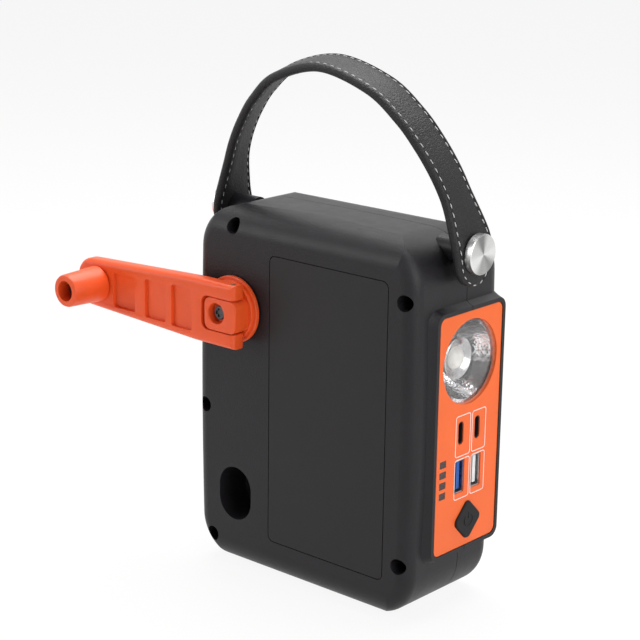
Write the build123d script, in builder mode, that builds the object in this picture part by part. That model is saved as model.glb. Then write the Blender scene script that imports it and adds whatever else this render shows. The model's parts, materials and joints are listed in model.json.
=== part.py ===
"""Hand crank phone charger: a hand-sized power bank with a folding crank, a torch and USB sockets.

The crank face looks along -Y, the socket panel along +X and the lamp along +Y. X = 0 is the middle
of the case, Y = 0 is the parting plane of its two shells and Z = 0 is the plane under the feet.
"""
import os
from math import acos, atan2, cos, degrees, pi, radians, sin, sqrt, tan

from build123d import *

# ---------------------------------------------------------------- driving sizes, mm
# case
case_top = 152.0
foot_proud = 1.2
case_half_width = 56.8
side_bow = 1.3
end_bow = 0.8
corner_radius = 18.0
wall = 2.4
crank_depth = 32.3
lamp_depth = 22.5
crank_edge_radius = 6.0
lamp_edge_radius = 7.5
crank_brow = (16.0, 10.5)
lamp_brow = (18.5, 11.0)
crank_heel = (9.0, 9.8)
lamp_heel = (9.0, 9.0)
boss_wall = 2.0

# clearances: around seated pieces, at turning shafts and at pressed-in pins
fit = 0.15
running = 0.05
seated = 0.02

# cuts run this far past the face that they open, and posts this far into the wall that carries them
over = 1.0
embed = 0.5

# socket panel and its raised bezel
panel_width = 39.1
panel_height = 95.6
panel_centre_z = 74.3
panel_thickness = 1.8
panel_corner = 3.0
bezel_top_x = 59.2
bezel_rim = 1.75
bezel_corner = 4.2
bezel_sink = 0.3
bezel_ledge = 1.6
bezel_root_drop = 6.6
bezel_root_flare = 5.6
bezel_root_front = 2.0
bezel_root_back = -4.6
bezel_root_corner = 9.2
bezel_waist_drop = 2.0
bezel_waist_flare = 0.9
bezel_waist_front = 0.8
bezel_waist_back = -0.4
bezel_waist_corner = 5.2

# crank
hub_x = -34.5
hub_z = 111.3
hub_gap = 0.7
flange_radius = 13.7
flange_step = 0.8
flange_thickness = 2.8
block_height = 14.6
block_reach = 13.6
block_tail = 4.6
block_corner = 2.0
block_edge = 0.6
counterbore_radius = 4.2
counterbore_depth = 4.0
hub_screw_radius = 1.45
hub_screw_bite = 7.0
hub_web = 1.0
pin_offset = 6.0
pin_radius = 1.2
arm_thickness = 7.5
arm_fork_height = 27.6
arm_end_height = 20.8
arm_lift = 0.3
arm_fork_overhang = 5.4
arm_end_overhang = 13.3
arm_end_corner = 7.0
arm_fork_corner = 1.5
arm_taper_start = 4.0
fork_gap = 1.0
slot_corner = 1.0
arm_edge = 0.8
arm_pockets = ((53.0, 13.4, 15.0), (35.8, 9.8, 16.6), (20.9, 9.6, 18.0))
pocket_depth = 2.0
pocket_corner = 1.6
knob_reach = 68.7
knob_length = 16.4
knob_base_radius = 6.9
knob_tip_radius = 5.9
knob_gap = 0.3
knob_collar = 1.5
knob_edge = 0.8
knob_bore_depth = 5.0
knob_bore_radius = 3.7
knob_axle_radius = 2.0
knob_axle_head_radius = 3.2
knob_axle_head_height = 2.0
shaft_radius = 3.0
bush_wall = 1.6
bush_sink = 0.3
shaft_tail = 2.0
shaft_chamfer = 0.3
clip_groove_depth = 0.4
clip_thickness = 0.6
clip_gap = 0.3
clip_width = 2.0

# stow well for the knob
well_z = 32.4
well_width = 17.5
well_height = 22.7
well_depth = 15.6
well_wall = 1.6

# face inlay
inlay_width = 59.6
inlay_height = 119.0
inlay_x = 13.95
inlay_z = 76.6
inlay_thickness = 0.8
inlay_corner = 3.0
inlay_groove = 0.35

# housing screws, seen from the crank side (x, z)
screw_spots = ((-36.5, 144.6), (51.3, 129.5), (-51.6, 67.2), (-47.4, 11.2), (51.3, 24.9))
screw_well_radius = 3.2
screw_seat_y = -12.0
screw_boss_radius = 4.8
screw_radius = 1.5
screw_head_radius = 2.7
screw_head_height = 2.0
screw_bite = 10.0

# torch
torch_z = 101.8
torch_radius = 16.9
lens_thickness = 1.2
lens_edge = 0.3
bowl_floor_radius = 6.0
bowl_depth = 15.0
bowl_skin = 0.9
bowl_lip = 0.8
bowl_lip_thickness = 1.2
bowl_foot_skin = 1.3
led_board_radius = 9.0
led_board_thickness = 1.6
led_dome_radius = 3.6
led_dome_rise = 1.2
led_dome_step = 0.3

# sockets
usb_c_z = 74.0
usb_a_z = 56.2
port_rows = (-4.5, 5.9)
usb_a_size = (13.4, 5.9)
usb_a_shell = 0.4
usb_a_corner = 0.5
usb_a_back = 2.5
usb_a_tongue = (11.0, 1.9)
usb_a_tongue_gap = 0.9
usb_c_size = (9.2, 3.2)
usb_c_shell = 0.35
usb_c_back = 5.0
usb_c_tongue = (6.6, 0.7)
socket_sink = 0.4
tongue_sink = 1.0
tongue_edge = 0.2
gauge_y = -15.2
gauge_z = 57.3
gauge_pitch = 4.3
gauge_size = (3.9, 2.7)
gauge_bars = 4
gauge_corner = 0.2
gauge_sink = 0.1
gauge_strip_margin = 0.7
gauge_strip_thickness = 1.2
port_board_x = 44.6
port_board_thickness = 1.6
port_board_size = (30.0, 55.0)
port_board_z = 56.0
port_board_corner = 1.5
port_post_margin = 3.0
post_radius = 2.2

# power button
button_y = 1.2
button_z = 37.0
button_diagonal = 15.2
button_corner = 2.4
button_proud = 1.0
button_travel = 1.0
button_flange = 0.9
button_flange_thickness = 1.2
button_edge = 0.7
button_stem_length = 1.0
button_stem_radius = 2.2
switch_side = 6.0
switch_height = 5.0
switch_corner = 0.4
switch_plunger_radius = 1.7
switch_gap = 0.2

# strap: an arch swung a little forward about its studs
strap_y = -5.2
strap_pivot_z = 146.0
strap_swing = 8.8
strap_reach = 61.9
strap_thickness = 3.6
strap_width = 22.0
strap_waist = 16.4
strap_taper = (7.0, 24.0)
strap_end_margin = 13.0
strap_straight = 3.0
strap_shoulder_radius = 42.0
strap_shoulder_turn = 26.0
strap_side_radius = 115.0
strap_side_turn = 16.0
strap_gap = 0.25
stud_radius = 7.8
stud_thickness = 3.0
stud_post_radius = 3.0
stud_edge = 0.4
stud_end_gap = 0.3
lug_radius = 4.8
lug_root_x = 47.0
lug_face = 5.0
lug_floor = 2.0

# seam between the shells
seam_width = 0.25
seam_depth = 0.35

# feet
foot_size = (14.0, 8.0)
foot_corner = 2.0
foot_recess = 0.8
foot_edge = 0.4
foot_x = 29.0
foot_rows = (-18.2, 8.4)

# gear train
pressure_angle = 25.0
addendum = 0.9
dedendum = 1.2
backlash = 0.14
gearbox_posts = ((-34.5, 131.8), (-48.4, 96.0), (4.6, 108.0), (-28.5, 80.0))
gearbox_post_radius = 2.6
small_screw_radius = 0.9
small_screw_bite = 4.0
small_screw_tip_gap = 0.2
small_screw_head_height = 1.0
first_module = 0.8
drive_teeth = 40
idler_pinion_teeth = 12
second_module = 0.6
idler_teeth = 42
rotor_teeth = 12
idler_bearing = -20.0
rotor_bearing = -82.0
gear_face = 3.6
gear_layer_gap = 0.8
gear_end_gap = 0.6
pinion_overlap = 0.5
pinion_lead = 0.6
drive_collar = 1.8
idler_collar = 1.2
idler_axle_sink = 0.2
idler_axle_floor = 0.6
drive_gear_y = -25.2
rear_plate_y = -15.4
plate_thickness = 2.0
plate_margin = 0.8
plate_nose_radius = 7.5
idler_axle_radius = 1.5
generator_radius = 13.0
generator_length = 14.0
generator_skin = 0.8
generator_edge = 1.0
nose_radius = 4.0
rotor_shaft_radius = 1.2
magnet_radius = 10.4
magnet_gap = 1.2
rotor_end_gap = 0.1
rotor_pinion_gap = 0.3
rotor_pinion_lead = 0.4

# batteries
cell_radius = 9.2
cell_length = 65.0
cell_pitch_x = 19.2
cell_pitch_y = 20.0
cell_columns = 3
cell_rows = 2
cell_x = 8.4
cell_y = -8.6
cell_floor_z = 6.4
cell_cap_radius = 3.2
cell_cap_height = 0.8
holder_height = 7.0
holder_inset = 5.2
holder_margin = 0.8
holder_corner = 2.0

# boards and lamp
main_board_size = (33.0, 58.0)
main_board_x = 19.6
main_board_z = 110.0
main_board_y = -1.0
main_board_post_z = (84.5, 135.5)
board_corner = 1.5
board_thickness = 1.6
chips = ((-8.0, 12.0, 9.0, 1.2, 0.3), (8.0, 14.0, 12.0, 6.5, 1.5), (-7.0, -12.0, 12.0, 6.5, 1.5))
capacitors = ((9.0, -16.0), (9.0, -4.0))
capacitor_radius = 4.0
capacitor_height = 9.0
lamp_width = 80.0
lamp_height = 108.0
lamp_corner = 8.0
lamp_z = 76.6
lamp_rim = 2.2
lamp_thickness = 2.2
lamp_proud = 0.4
lamp_edge = 0.35
lamp_board_size = (92.0, 100.0)
lamp_board_y = 16.4
lamp_board_thickness = 1.2
lamp_board_posts = ((-43.0, 33.0), (43.0, 33.0), (-43.0, 120.0), (43.0, 120.0))
lamp_led_size = (3.4, 2.8)
lamp_led_height = 0.8
lamp_led_corner = 0.2
lamp_led_counts = (4, 5)
lamp_led_pitch = (19.0, 20.0)

# ---------------------------------------------------------------- places that follow from them
case_bottom = foot_proud
case_middle_z = (case_top + case_bottom) / 2
face_y = -crank_depth
panel_x = bezel_top_x - bezel_sink
panel_back_x = panel_x - panel_thickness
flange_back_y = face_y - hub_gap
flange_front_y = flange_back_y - flange_thickness
arm_back_y = flange_front_y - arm_lift
arm_front_y = arm_back_y - arm_thickness
pin_x = hub_x + pin_offset
pin_y = (arm_back_y + arm_front_y) / 2
fork_swing_radius = sqrt(arm_fork_overhang ** 2 + (arm_thickness / 2) ** 2)
knob_x = hub_x - knob_reach
knob_tip_y = arm_front_y - knob_length
well_x = hub_x
slot_end_x = pin_x - block_reach - fork_gap
idler_distance = first_module * (drive_teeth + idler_pinion_teeth) / 2
idler_x = hub_x + idler_distance * cos(radians(idler_bearing))
idler_z = hub_z + idler_distance * sin(radians(idler_bearing))
rotor_distance = second_module * (idler_teeth + rotor_teeth) / 2
rotor_x = idler_x + rotor_distance * cos(radians(rotor_bearing))
rotor_z = idler_z + rotor_distance * sin(radians(rotor_bearing))
idler_gear_y = drive_gear_y + gear_face + gear_layer_gap
bush_radius = shaft_radius + running + bush_wall
bush_back_y = drive_gear_y - gear_end_gap
pinion_front_y = drive_gear_y - pinion_lead
idler_boss_back_y = pinion_front_y - gear_end_gap
boss_front_y = face_y + over
idler_axle_front_y = face_y + wall + idler_axle_floor
stud_root_x = lug_root_x + lug_floor
lug_x = strap_reach - strap_thickness / 2 - strap_gap
stud_head_x = strap_reach + strap_thickness / 2 + strap_gap
plate_back_y = rear_plate_y + plate_thickness
shaft_front_y = arm_front_y + counterbore_depth + hub_web
shaft_back_y = plate_back_y + shaft_tail
clip_bore = shaft_radius - clip_groove_depth
clip_y = plate_back_y + clip_gap

OUT = "parts"


# ---------------------------------------------------------------- shared profiles
def case_outline(inset):
    """Return the bowed, round-cornered outline of the case, `inset` inside its skin, on the XZ plane."""
    half = case_half_width - inset
    low = case_bottom + inset
    high = case_top - inset
    corner_x = half - side_bow
    with BuildSketch(Plane.XZ) as sketch:
        with BuildLine():
            ThreePointArc((corner_x, low + end_bow), (half, case_middle_z), (corner_x, high - end_bow))
            ThreePointArc((corner_x, high - end_bow), (0, high), (-corner_x, high - end_bow))
            ThreePointArc((-corner_x, high - end_bow), (-half, case_middle_z), (-corner_x, low + end_bow))
            ThreePointArc((-corner_x, low + end_bow), (0, low), (corner_x, low + end_bow))
        make_face()
        fillet(sketch.vertices(), radius=corner_radius - inset)
    return sketch.sketch


def edge_cutter(outward, depth, edge, height, upward):
    """Return the side profile of what a soft long edge leaves out: the corner beyond a quarter ellipse."""
    run, rise = edge
    start = outward * (depth - run)
    end = outward * depth
    beyond = end + outward * over
    shoulder = height - upward * rise
    outside = height + upward * over
    angle = degrees(atan2(upward, outward))
    first = 90 * round((angle - 45) / 90)
    with BuildSketch(Plane.YZ.offset(-case_half_width - over)) as sketch:
        with BuildLine():
            EllipticalCenterArc((start, shoulder), run, rise, first, arc_size=90)
            Polyline((start, height), (start, outside), (beyond, outside), (beyond, shoulder), (end, shoulder))
        make_face()
    return sketch.sketch


def half_body(outward, depth, edge_radius, brow, heel, inset):
    """Build one half of the case as a solid, `inset` inside its skin, from Y = 0 outwards."""
    extrude(case_outline(inset), amount=-outward * (depth - inset))
    rim = faces().sort_by(Axis.Y)[-1 if outward > 0 else 0]
    fillet(rim.edges(), radius=edge_radius - inset)
    softer_brow = (brow[0] - inset, brow[1] - inset)
    softer_heel = (heel[0] - inset, heel[1] - inset)
    across = 2 * (case_half_width + over)
    extrude(edge_cutter(outward, depth - inset, softer_brow, case_top - inset, 1), amount=across,
            mode=Mode.SUBTRACT)
    extrude(edge_cutter(outward, depth - inset, softer_heel, case_bottom + inset, -1), amount=across,
            mode=Mode.SUBTRACT)


def panel_outline(x, grow, corner, front=0.0, back=0.0):
    """Return the panel's rounded rectangle at station x, grown by `grow` and more at front and back."""
    width = panel_width + 2 * grow + front + back
    middle = (back - front) / 2
    with BuildSketch(Plane.YZ.offset(x)) as sketch:
        with Locations((middle, panel_centre_z)):
            RectangleRounded(width, panel_height + 2 * grow, corner)
    return sketch.sketch


def bezel():
    """Loft the raised bezel from its broad flared root on the case to its thin rim."""
    rim = bezel_rim
    root = rim + bezel_root_flare
    waist = rim + bezel_waist_flare
    loft([
        panel_outline(bezel_top_x - bezel_root_drop, root, bezel_root_corner, bezel_root_front,
                      bezel_root_back),
        panel_outline(bezel_top_x - bezel_waist_drop, waist, bezel_waist_corner, bezel_waist_front,
                      bezel_waist_back),
        panel_outline(bezel_top_x, rim, bezel_corner),
    ])


def button_outline(x, grow):
    """Return the round-cornered diamond of the power button at station x, grown by `grow`."""
    side = (button_diagonal + 2 * button_corner * (sqrt(2) - 1)) / sqrt(2) + 2 * grow
    with BuildSketch(Plane.YZ.offset(x)) as sketch:
        with Locations((button_y, button_z)):
            RectangleRounded(side, side, button_corner + grow, rotation=45)
    return sketch.sketch


def slot_y(y, x, z, height, width):
    """Return an upright slot outline at station y, facing -Y."""
    with BuildSketch(Plane.XZ.offset(-y)) as sketch:
        with Locations((x, z)):
            SlotOverall(height, width, rotation=90)
    return sketch.sketch


def rectangle_y(y, x, z, width, height, corner):
    """Return a rounded rectangle at station y, facing -Y."""
    with BuildSketch(Plane.XZ.offset(-y)) as sketch:
        with Locations((x, z)):
            RectangleRounded(width, height, corner)
    return sketch.sketch


def rectangle_x(x, y, z, width, height, corner):
    """Return a rounded rectangle at station x, facing +X."""
    with BuildSketch(Plane.YZ.offset(x)) as sketch:
        with Locations((y, z)):
            RectangleRounded(width, height, corner)
    return sketch.sketch


def foot_outline(z, x, y, grow):
    """Return the outline of a foot at height z, grown by `grow`."""
    with BuildSketch(Plane.XY.offset(z)) as sketch:
        with Locations((x, y)):
            RectangleRounded(foot_size[0] + 2 * grow, foot_size[1] + 2 * grow, foot_corner + grow)
    return sketch.sketch


def cylinder_y(radius, start_y, end_y, x, z, mode=Mode.ADD):
    """Add or cut a round bar along Y between two stations."""
    with BuildSketch(Plane.XZ.offset(-start_y)) as sketch:
        with Locations((x, z)):
            Circle(radius)
    extrude(sketch.sketch, amount=start_y - end_y, mode=mode)


def cylinder_x(radius, start_x, end_x, y, z, mode=Mode.ADD):
    """Add or cut a round bar along X between two stations."""
    with BuildSketch(Plane.YZ.offset(start_x)) as sketch:
        with Locations((y, z)):
            Circle(radius)
    extrude(sketch.sketch, amount=end_x - start_x, mode=mode)


def gear_outline(y, x, z, teeth, module, phase, bore):
    """Return an involute spur gear at station y with one tooth centred at angle `phase` from +X."""
    pitch = module * teeth / 2
    tip = pitch + addendum * module
    root = pitch - dedendum * module
    base = pitch * cos(radians(pressure_angle))
    half_tooth = pi / (2 * teeth) - backlash / (2 * pitch)

    def involute(radius):
        return tan(acos(base / radius)) - acos(base / radius)

    def flank(radius):
        reach = max(radius, base)
        return half_tooth + involute(pitch) - involute(reach)

    levels = (root, max(base, root + 0.05 * module), pitch, tip)
    points = []
    for tooth in range(teeth):
        centre = radians(phase) + 2 * pi * tooth / teeth
        left = [(r * cos(centre - flank(r)), r * sin(centre - flank(r))) for r in levels]
        right = [(r * cos(centre + flank(r)), r * sin(centre + flank(r))) for r in reversed(levels)]
        points += left + right
    with BuildSketch(Plane(origin=(x, y, z), x_dir=(1, 0, 0), z_dir=(0, -1, 0))) as sketch:
        with BuildLine():
            Polyline(*points, close=True)
        make_face()
        Circle(bore, mode=Mode.SUBTRACT)
    return sketch.sketch


def screw_boss(x, z, start_y, end_y):
    """Add one screw boss, with a flat-sided web where it stands against a side wall."""
    cylinder_y(screw_boss_radius, start_y, end_y, x, z)
    if abs(x) + screw_boss_radius > case_half_width - wall:
        wall_x = case_half_width if x > 0 else -case_half_width
        with BuildSketch(Plane.XZ.offset(-start_y)) as web:
            with Locations(((x + wall_x) / 2, z)):
                Rectangle(abs(wall_x - x), 2 * screw_boss_radius)
        extrude(web.sketch, amount=start_y - end_y)


def save(part, label):
    """Label a finished piece and write it as its own STEP file."""
    part.label = label
    export_step(part, f"{OUT}/{label}.step")


os.makedirs(OUT, exist_ok=True)

# ---------------------------------------------------------------- case shells
crank_side = (-1, crank_depth, crank_edge_radius, crank_brow, crank_heel)
lamp_side = (1, lamp_depth, lamp_edge_radius, lamp_brow, lamp_heel)

with BuildPart() as crank_envelope:
    half_body(*crank_side, 0)

with BuildPart() as crank_hollow:
    half_body(*crank_side, wall)

with BuildPart() as lamp_envelope:
    half_body(*lamp_side, 0)

with BuildPart() as lamp_hollow:
    half_body(*lamp_side, wall)

# posts that stand on the inside of the crank face, cut to the skin of the case
with BuildPart() as crank_bosses:
    for x, z in screw_spots:
        screw_boss(x, z, 0, face_y)
    for x, z in gearbox_posts:
        cylinder_y(gearbox_post_radius, rear_plate_y, boss_front_y, x, z)
    for z in main_board_post_z:
        cylinder_y(gearbox_post_radius, main_board_y, boss_front_y, main_board_x, z)
    cylinder_y(bush_radius + boss_wall, bush_back_y, boss_front_y, hub_x, hub_z)
    cylinder_y(idler_axle_radius + boss_wall, idler_boss_back_y, boss_front_y, idler_x, idler_z)
    cup = slot_y(boss_front_y, well_x, well_z, well_height + 2 * well_wall, well_width + 2 * well_wall)
    extrude(cup, amount=-(well_depth + well_wall - over))
    add(crank_envelope.part, mode=Mode.INTERSECT)

with BuildPart() as crank_side_shell:
    add(crank_envelope.part)
    bezel()
    for side in (-1, 1):
        cylinder_x(lug_radius, side * lug_root_x, side * lug_x, strap_y, strap_pivot_z)
    split(bisect_by=Plane.XZ, keep=Keep.TOP)
    add(crank_hollow.part, mode=Mode.SUBTRACT)
    add(crank_bosses.part)
    for side in (-1, 1):
        cylinder_x(lug_radius, side * lug_root_x, side * (lug_x - lug_face), strap_y, strap_pivot_z)
    split(bisect_by=Plane.XZ, keep=Keep.TOP)
    # the fine groove of the seam, cut from this shell alone
    with BuildSketch(Plane.XZ) as seam:
        add(case_outline(-corner_radius / 2))
        add(case_outline(seam_depth), mode=Mode.SUBTRACT)
    extrude(seam.sketch, amount=seam_width, mode=Mode.SUBTRACT)
    # window and seat of the socket panel
    extrude(panel_outline(lug_root_x, -bezel_ledge, panel_corner), amount=panel_back_x - lug_root_x,
            mode=Mode.SUBTRACT)
    extrude(panel_outline(panel_back_x, fit / 2, panel_corner), amount=panel_thickness + over,
            mode=Mode.SUBTRACT)
    # stow well, face inlay seat and crank bearing
    well = slot_y(face_y, well_x, well_z, well_height, well_width)
    extrude(well, amount=-well_depth, mode=Mode.SUBTRACT)
    seat_width = inlay_width + 2 * inlay_groove
    seat_height = inlay_height + 2 * inlay_groove
    seat = rectangle_y(face_y, inlay_x, inlay_z, seat_width, seat_height, inlay_corner)
    extrude(seat, amount=-inlay_thickness, mode=Mode.SUBTRACT)
    cylinder_y(bush_radius + seated, bush_back_y + over, face_y - over, hub_x, hub_z, Mode.SUBTRACT)
    cylinder_y(idler_axle_radius + seated, rear_plate_y, idler_axle_front_y, idler_x, idler_z, Mode.SUBTRACT)
    # screw wells, deep and dark, with a clearance hole behind
    for x, z in screw_spots:
        cylinder_y(screw_well_radius, screw_seat_y, face_y - over, x, z, Mode.SUBTRACT)
        cylinder_y(screw_radius + fit, over, screw_seat_y - over, x, z, Mode.SUBTRACT)
    for x, z in gearbox_posts:
        cylinder_y(small_screw_radius + seated, rear_plate_y + over, rear_plate_y - small_screw_bite, x, z,
                   Mode.SUBTRACT)
    for z in main_board_post_z:
        cylinder_y(small_screw_radius + seated, main_board_y + over, main_board_y - small_screw_bite,
                   main_board_x, z, Mode.SUBTRACT)
    for side in (-1, 1):
        cylinder_x(stud_post_radius + seated, side * stud_root_x, side * (lug_x + over), strap_y, strap_pivot_z,
                   Mode.SUBTRACT)
    # foot seats
    for x in (-foot_x, foot_x):
        seat = foot_outline(foot_proud + foot_recess, x, foot_rows[0], fit)
        extrude(seat, amount=-(foot_proud + foot_recess), mode=Mode.SUBTRACT)
save(crank_side_shell.part, "crank_side_shell")

with BuildPart() as lamp_bosses:
    for x, z in screw_spots:
        screw_boss(x, z, lamp_depth, 0)
    for x, z in lamp_board_posts:
        cylinder_y(gearbox_post_radius, lamp_depth, lamp_board_y + lamp_board_thickness, x, z)
    add(lamp_envelope.part, mode=Mode.INTERSECT)

with BuildPart() as lamp_side_shell:
    add(lamp_envelope.part)
    bezel()
    split(bisect_by=Plane.XZ, keep=Keep.BOTTOM)
    add(lamp_hollow.part, mode=Mode.SUBTRACT)
    add(lamp_bosses.part)
    extrude(panel_outline(lug_root_x, -bezel_ledge, panel_corner), amount=panel_back_x - lug_root_x,
            mode=Mode.SUBTRACT)
    extrude(panel_outline(panel_back_x, fit / 2, panel_corner), amount=panel_thickness + over,
            mode=Mode.SUBTRACT)
    # seat and window of the lamp diffuser
    seat = rectangle_y(lamp_depth, 0, lamp_z, lamp_width + 2 * fit, lamp_height + 2 * fit, lamp_corner + fit)
    extrude(seat, amount=lamp_thickness - lamp_proud, mode=Mode.SUBTRACT)
    inner_width = lamp_width - 2 * lamp_rim
    inner_height = lamp_height - 2 * lamp_rim
    window = rectangle_y(lamp_depth, 0, lamp_z, inner_width, inner_height, lamp_corner - lamp_rim)
    extrude(window, amount=wall + over, mode=Mode.SUBTRACT)
    for x, z in screw_spots:
        cylinder_y(screw_radius + seated, screw_bite + over, -over, x, z, Mode.SUBTRACT)
    for x, z in lamp_board_posts:
        cylinder_y(small_screw_radius + seated, lamp_board_y + small_screw_bite, lamp_board_y, x, z,
                   Mode.SUBTRACT)
    for x in (-foot_x, foot_x):
        seat = foot_outline(foot_proud + foot_recess, x, foot_rows[1], fit)
        extrude(seat, amount=-(foot_proud + foot_recess), mode=Mode.SUBTRACT)
save(lamp_side_shell.part, "lamp_side_shell")

# ---------------------------------------------------------------- face inlay, feet, housing screws
with BuildPart() as face_inlay:
    extrude(rectangle_y(face_y, inlay_x, inlay_z, inlay_width, inlay_height, inlay_corner - inlay_groove),
            amount=-inlay_thickness)
save(face_inlay.part, "face_inlay")

with BuildPart() as rubber_feet:
    for x in (-foot_x, foot_x):
        for y in foot_rows:
            extrude(foot_outline(0, x, y, 0), amount=foot_proud + foot_recess)
    chamfer(faces().filter_by(Axis.Z).group_by(Axis.Z)[0].edges(), length=foot_edge)
save(rubber_feet.part, "rubber_feet")

with BuildPart() as housing_screws:
    for x, z in screw_spots:
        cylinder_y(screw_head_radius, screw_seat_y, screw_seat_y - screw_head_height, x, z)
        cylinder_y(screw_radius, screw_bite, screw_seat_y, x, z)
save(housing_screws.part, "housing_screws")

# ---------------------------------------------------------------- socket panel
post_y = port_board_size[0] / 2 - port_post_margin
post_rise = port_board_size[1] / 2 - port_post_margin
port_posts = [(side * post_y, port_board_z + end * post_rise)
              for side in (-1, 1) for end in (-1, 1)]
gauge_rows = [gauge_z + (step - (gauge_bars - 1) / 2) * gauge_pitch for step in range(gauge_bars)]

with BuildPart() as port_panel:
    extrude(panel_outline(panel_back_x, -fit / 2, panel_corner), amount=panel_thickness)
    for y, z in port_posts:
        cylinder_x(post_radius, port_board_x, panel_back_x + embed, y, z)
    cylinder_x(torch_radius, panel_back_x - over, panel_x + over, 0, torch_z, Mode.SUBTRACT)
    through = panel_thickness + 2 * over
    for y in port_rows:
        long_c, short_c = usb_c_size
        opening = rectangle_x(panel_back_x - over, y, usb_c_z, short_c + fit, long_c + fit, short_c / 2)
        extrude(opening, amount=through, mode=Mode.SUBTRACT)
        long_a, short_a = usb_a_size
        opening = rectangle_x(panel_back_x - over, y, usb_a_z, short_a + fit, long_a + fit, usb_a_corner)
        extrude(opening, amount=through, mode=Mode.SUBTRACT)
    for z in gauge_rows:
        opening = rectangle_x(panel_back_x - over, gauge_y, z, gauge_size[0] + fit, gauge_size[1] + fit,
                              gauge_corner + fit / 2)
        extrude(opening, amount=through, mode=Mode.SUBTRACT)
    extrude(button_outline(panel_back_x - over, fit), amount=through, mode=Mode.SUBTRACT)
    for y, z in port_posts:
        cylinder_x(small_screw_radius + seated, port_board_x - over, port_board_x + small_screw_bite, y, z,
                   Mode.SUBTRACT)
save(port_panel.part, "port_panel")

with BuildPart() as charge_gauge_lens:
    strip_width = gauge_size[0] + 2 * gauge_strip_margin
    strip_height = (gauge_bars - 1) * gauge_pitch + gauge_size[1] + 2 * gauge_strip_margin
    strip = rectangle_x(panel_back_x - gauge_strip_thickness, gauge_y, gauge_z, strip_width, strip_height,
                        gauge_strip_margin)
    extrude(strip, amount=gauge_strip_thickness)
    for z in gauge_rows:
        bar = rectangle_x(panel_back_x, gauge_y, z, *gauge_size, gauge_corner)
        extrude(bar, amount=panel_thickness - gauge_sink)
save(charge_gauge_lens.part, "charge_gauge_lens")

# ---------------------------------------------------------------- torch
bowl_back_x = panel_back_x - bowl_depth
lens_radius = torch_radius - fit

with BuildPart() as torch_reflector:
    # a parabola turned about the torch's axis: its profile in the level plane through that axis
    lip_back_x = panel_back_x - bowl_lip_thickness
    lip_radius = torch_radius + bowl_lip
    rim_inner = torch_radius - bowl_skin - bowl_lip
    focus = (rim_inner ** 2 - bowl_floor_radius ** 2) / (4 * bowl_depth)
    middle_x = (bowl_back_x + panel_back_x) / 2
    middle = sqrt(4 * focus * (middle_x - bowl_back_x) + bowl_floor_radius ** 2)
    foot_radius = bowl_floor_radius + bowl_foot_skin
    with BuildSketch(Plane.XY.offset(torch_z)) as profile:
        with BuildLine():
            ThreePointArc((bowl_back_x, bowl_floor_radius), (middle_x, middle), (panel_back_x, rim_inner))
            Polyline((panel_back_x, rim_inner), (panel_back_x, lip_radius), (lip_back_x, lip_radius),
                     (lip_back_x, rim_inner + bowl_skin))
            ThreePointArc((lip_back_x, rim_inner + bowl_skin), (middle_x, middle + bowl_foot_skin),
                          (bowl_back_x, foot_radius))
            Line((bowl_back_x, foot_radius), (bowl_back_x, bowl_floor_radius))
        make_face()
    revolve(profile.sketch, axis=Axis((0, 0, torch_z), (1, 0, 0)))
save(torch_reflector.part, "torch_reflector")

with BuildPart() as torch_lens:
    cylinder_x(lens_radius, panel_back_x, panel_back_x + lens_thickness, 0, torch_z)
    fillet(edges().sort_by(Axis.X)[-1], radius=lens_edge)
save(torch_lens.part, "torch_lens")

with BuildPart() as torch_led:
    cylinder_x(led_board_radius, bowl_back_x - led_board_thickness, bowl_back_x, 0, torch_z)
    cylinder_x(led_dome_radius, bowl_back_x, bowl_back_x + led_dome_rise, 0, torch_z)
    with Locations((bowl_back_x + led_dome_rise, 0, torch_z)):
        Sphere(led_dome_radius - led_dome_step)
    split(bisect_by=Plane.YZ.offset(bowl_back_x - led_board_thickness), keep=Keep.TOP)
save(torch_led.part, "torch_led")

# ---------------------------------------------------------------- sockets and their board
socket_front_x = panel_x - socket_sink
tongue_front_x = socket_front_x - tongue_sink
socket_length = socket_front_x - port_board_x


def usb_a_body(y):
    """Build one upright USB-A socket: a folded metal shell with a solid back."""
    tall, thick = usb_a_size
    extrude(rectangle_x(port_board_x, y, usb_a_z, thick, tall, usb_a_corner), amount=socket_length)
    hollow = rectangle_x(port_board_x + usb_a_back, y, usb_a_z, thick - 2 * usb_a_shell,
                         tall - 2 * usb_a_shell, usb_a_corner - usb_a_shell)
    extrude(hollow, amount=socket_length, mode=Mode.SUBTRACT)


def usb_a_blade(y):
    """Build the plastic tongue of one USB-A socket, set to one side as in the real one."""
    wide, thick = usb_a_tongue
    shift = usb_a_size[1] / 2 - usb_a_shell - thick / 2 - usb_a_tongue_gap
    blade = rectangle_x(port_board_x + usb_a_back, y + shift, usb_a_z, thick, wide, tongue_edge)
    extrude(blade, amount=tongue_front_x - port_board_x - usb_a_back)


def usb_c_body(y):
    """Build one upright USB-C socket: a rounded metal tube with a solid back and its thin tongue."""
    tall, thick = usb_c_size
    with BuildSketch(Plane.YZ.offset(port_board_x)) as outside:
        with Locations((y, usb_c_z)):
            SlotOverall(tall, thick, rotation=90)
    extrude(outside.sketch, amount=socket_length)
    cavity_x = port_board_x + usb_c_back
    with BuildSketch(Plane.YZ.offset(cavity_x)) as cavity:
        with Locations((y, usb_c_z)):
            SlotOverall(tall - 2 * usb_c_shell, thick - 2 * usb_c_shell, rotation=90)
    extrude(cavity.sketch, amount=socket_length, mode=Mode.SUBTRACT)
    blade = rectangle_x(cavity_x, y, usb_c_z, usb_c_tongue[1], usb_c_tongue[0], tongue_edge)
    extrude(blade, amount=tongue_front_x - cavity_x)


with BuildPart() as usb_a_socket_near:
    usb_a_body(port_rows[0])
save(usb_a_socket_near.part, "usb_a_socket_near")

with BuildPart() as usb_a_socket_far:
    usb_a_body(port_rows[1])
save(usb_a_socket_far.part, "usb_a_socket_far")

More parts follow.
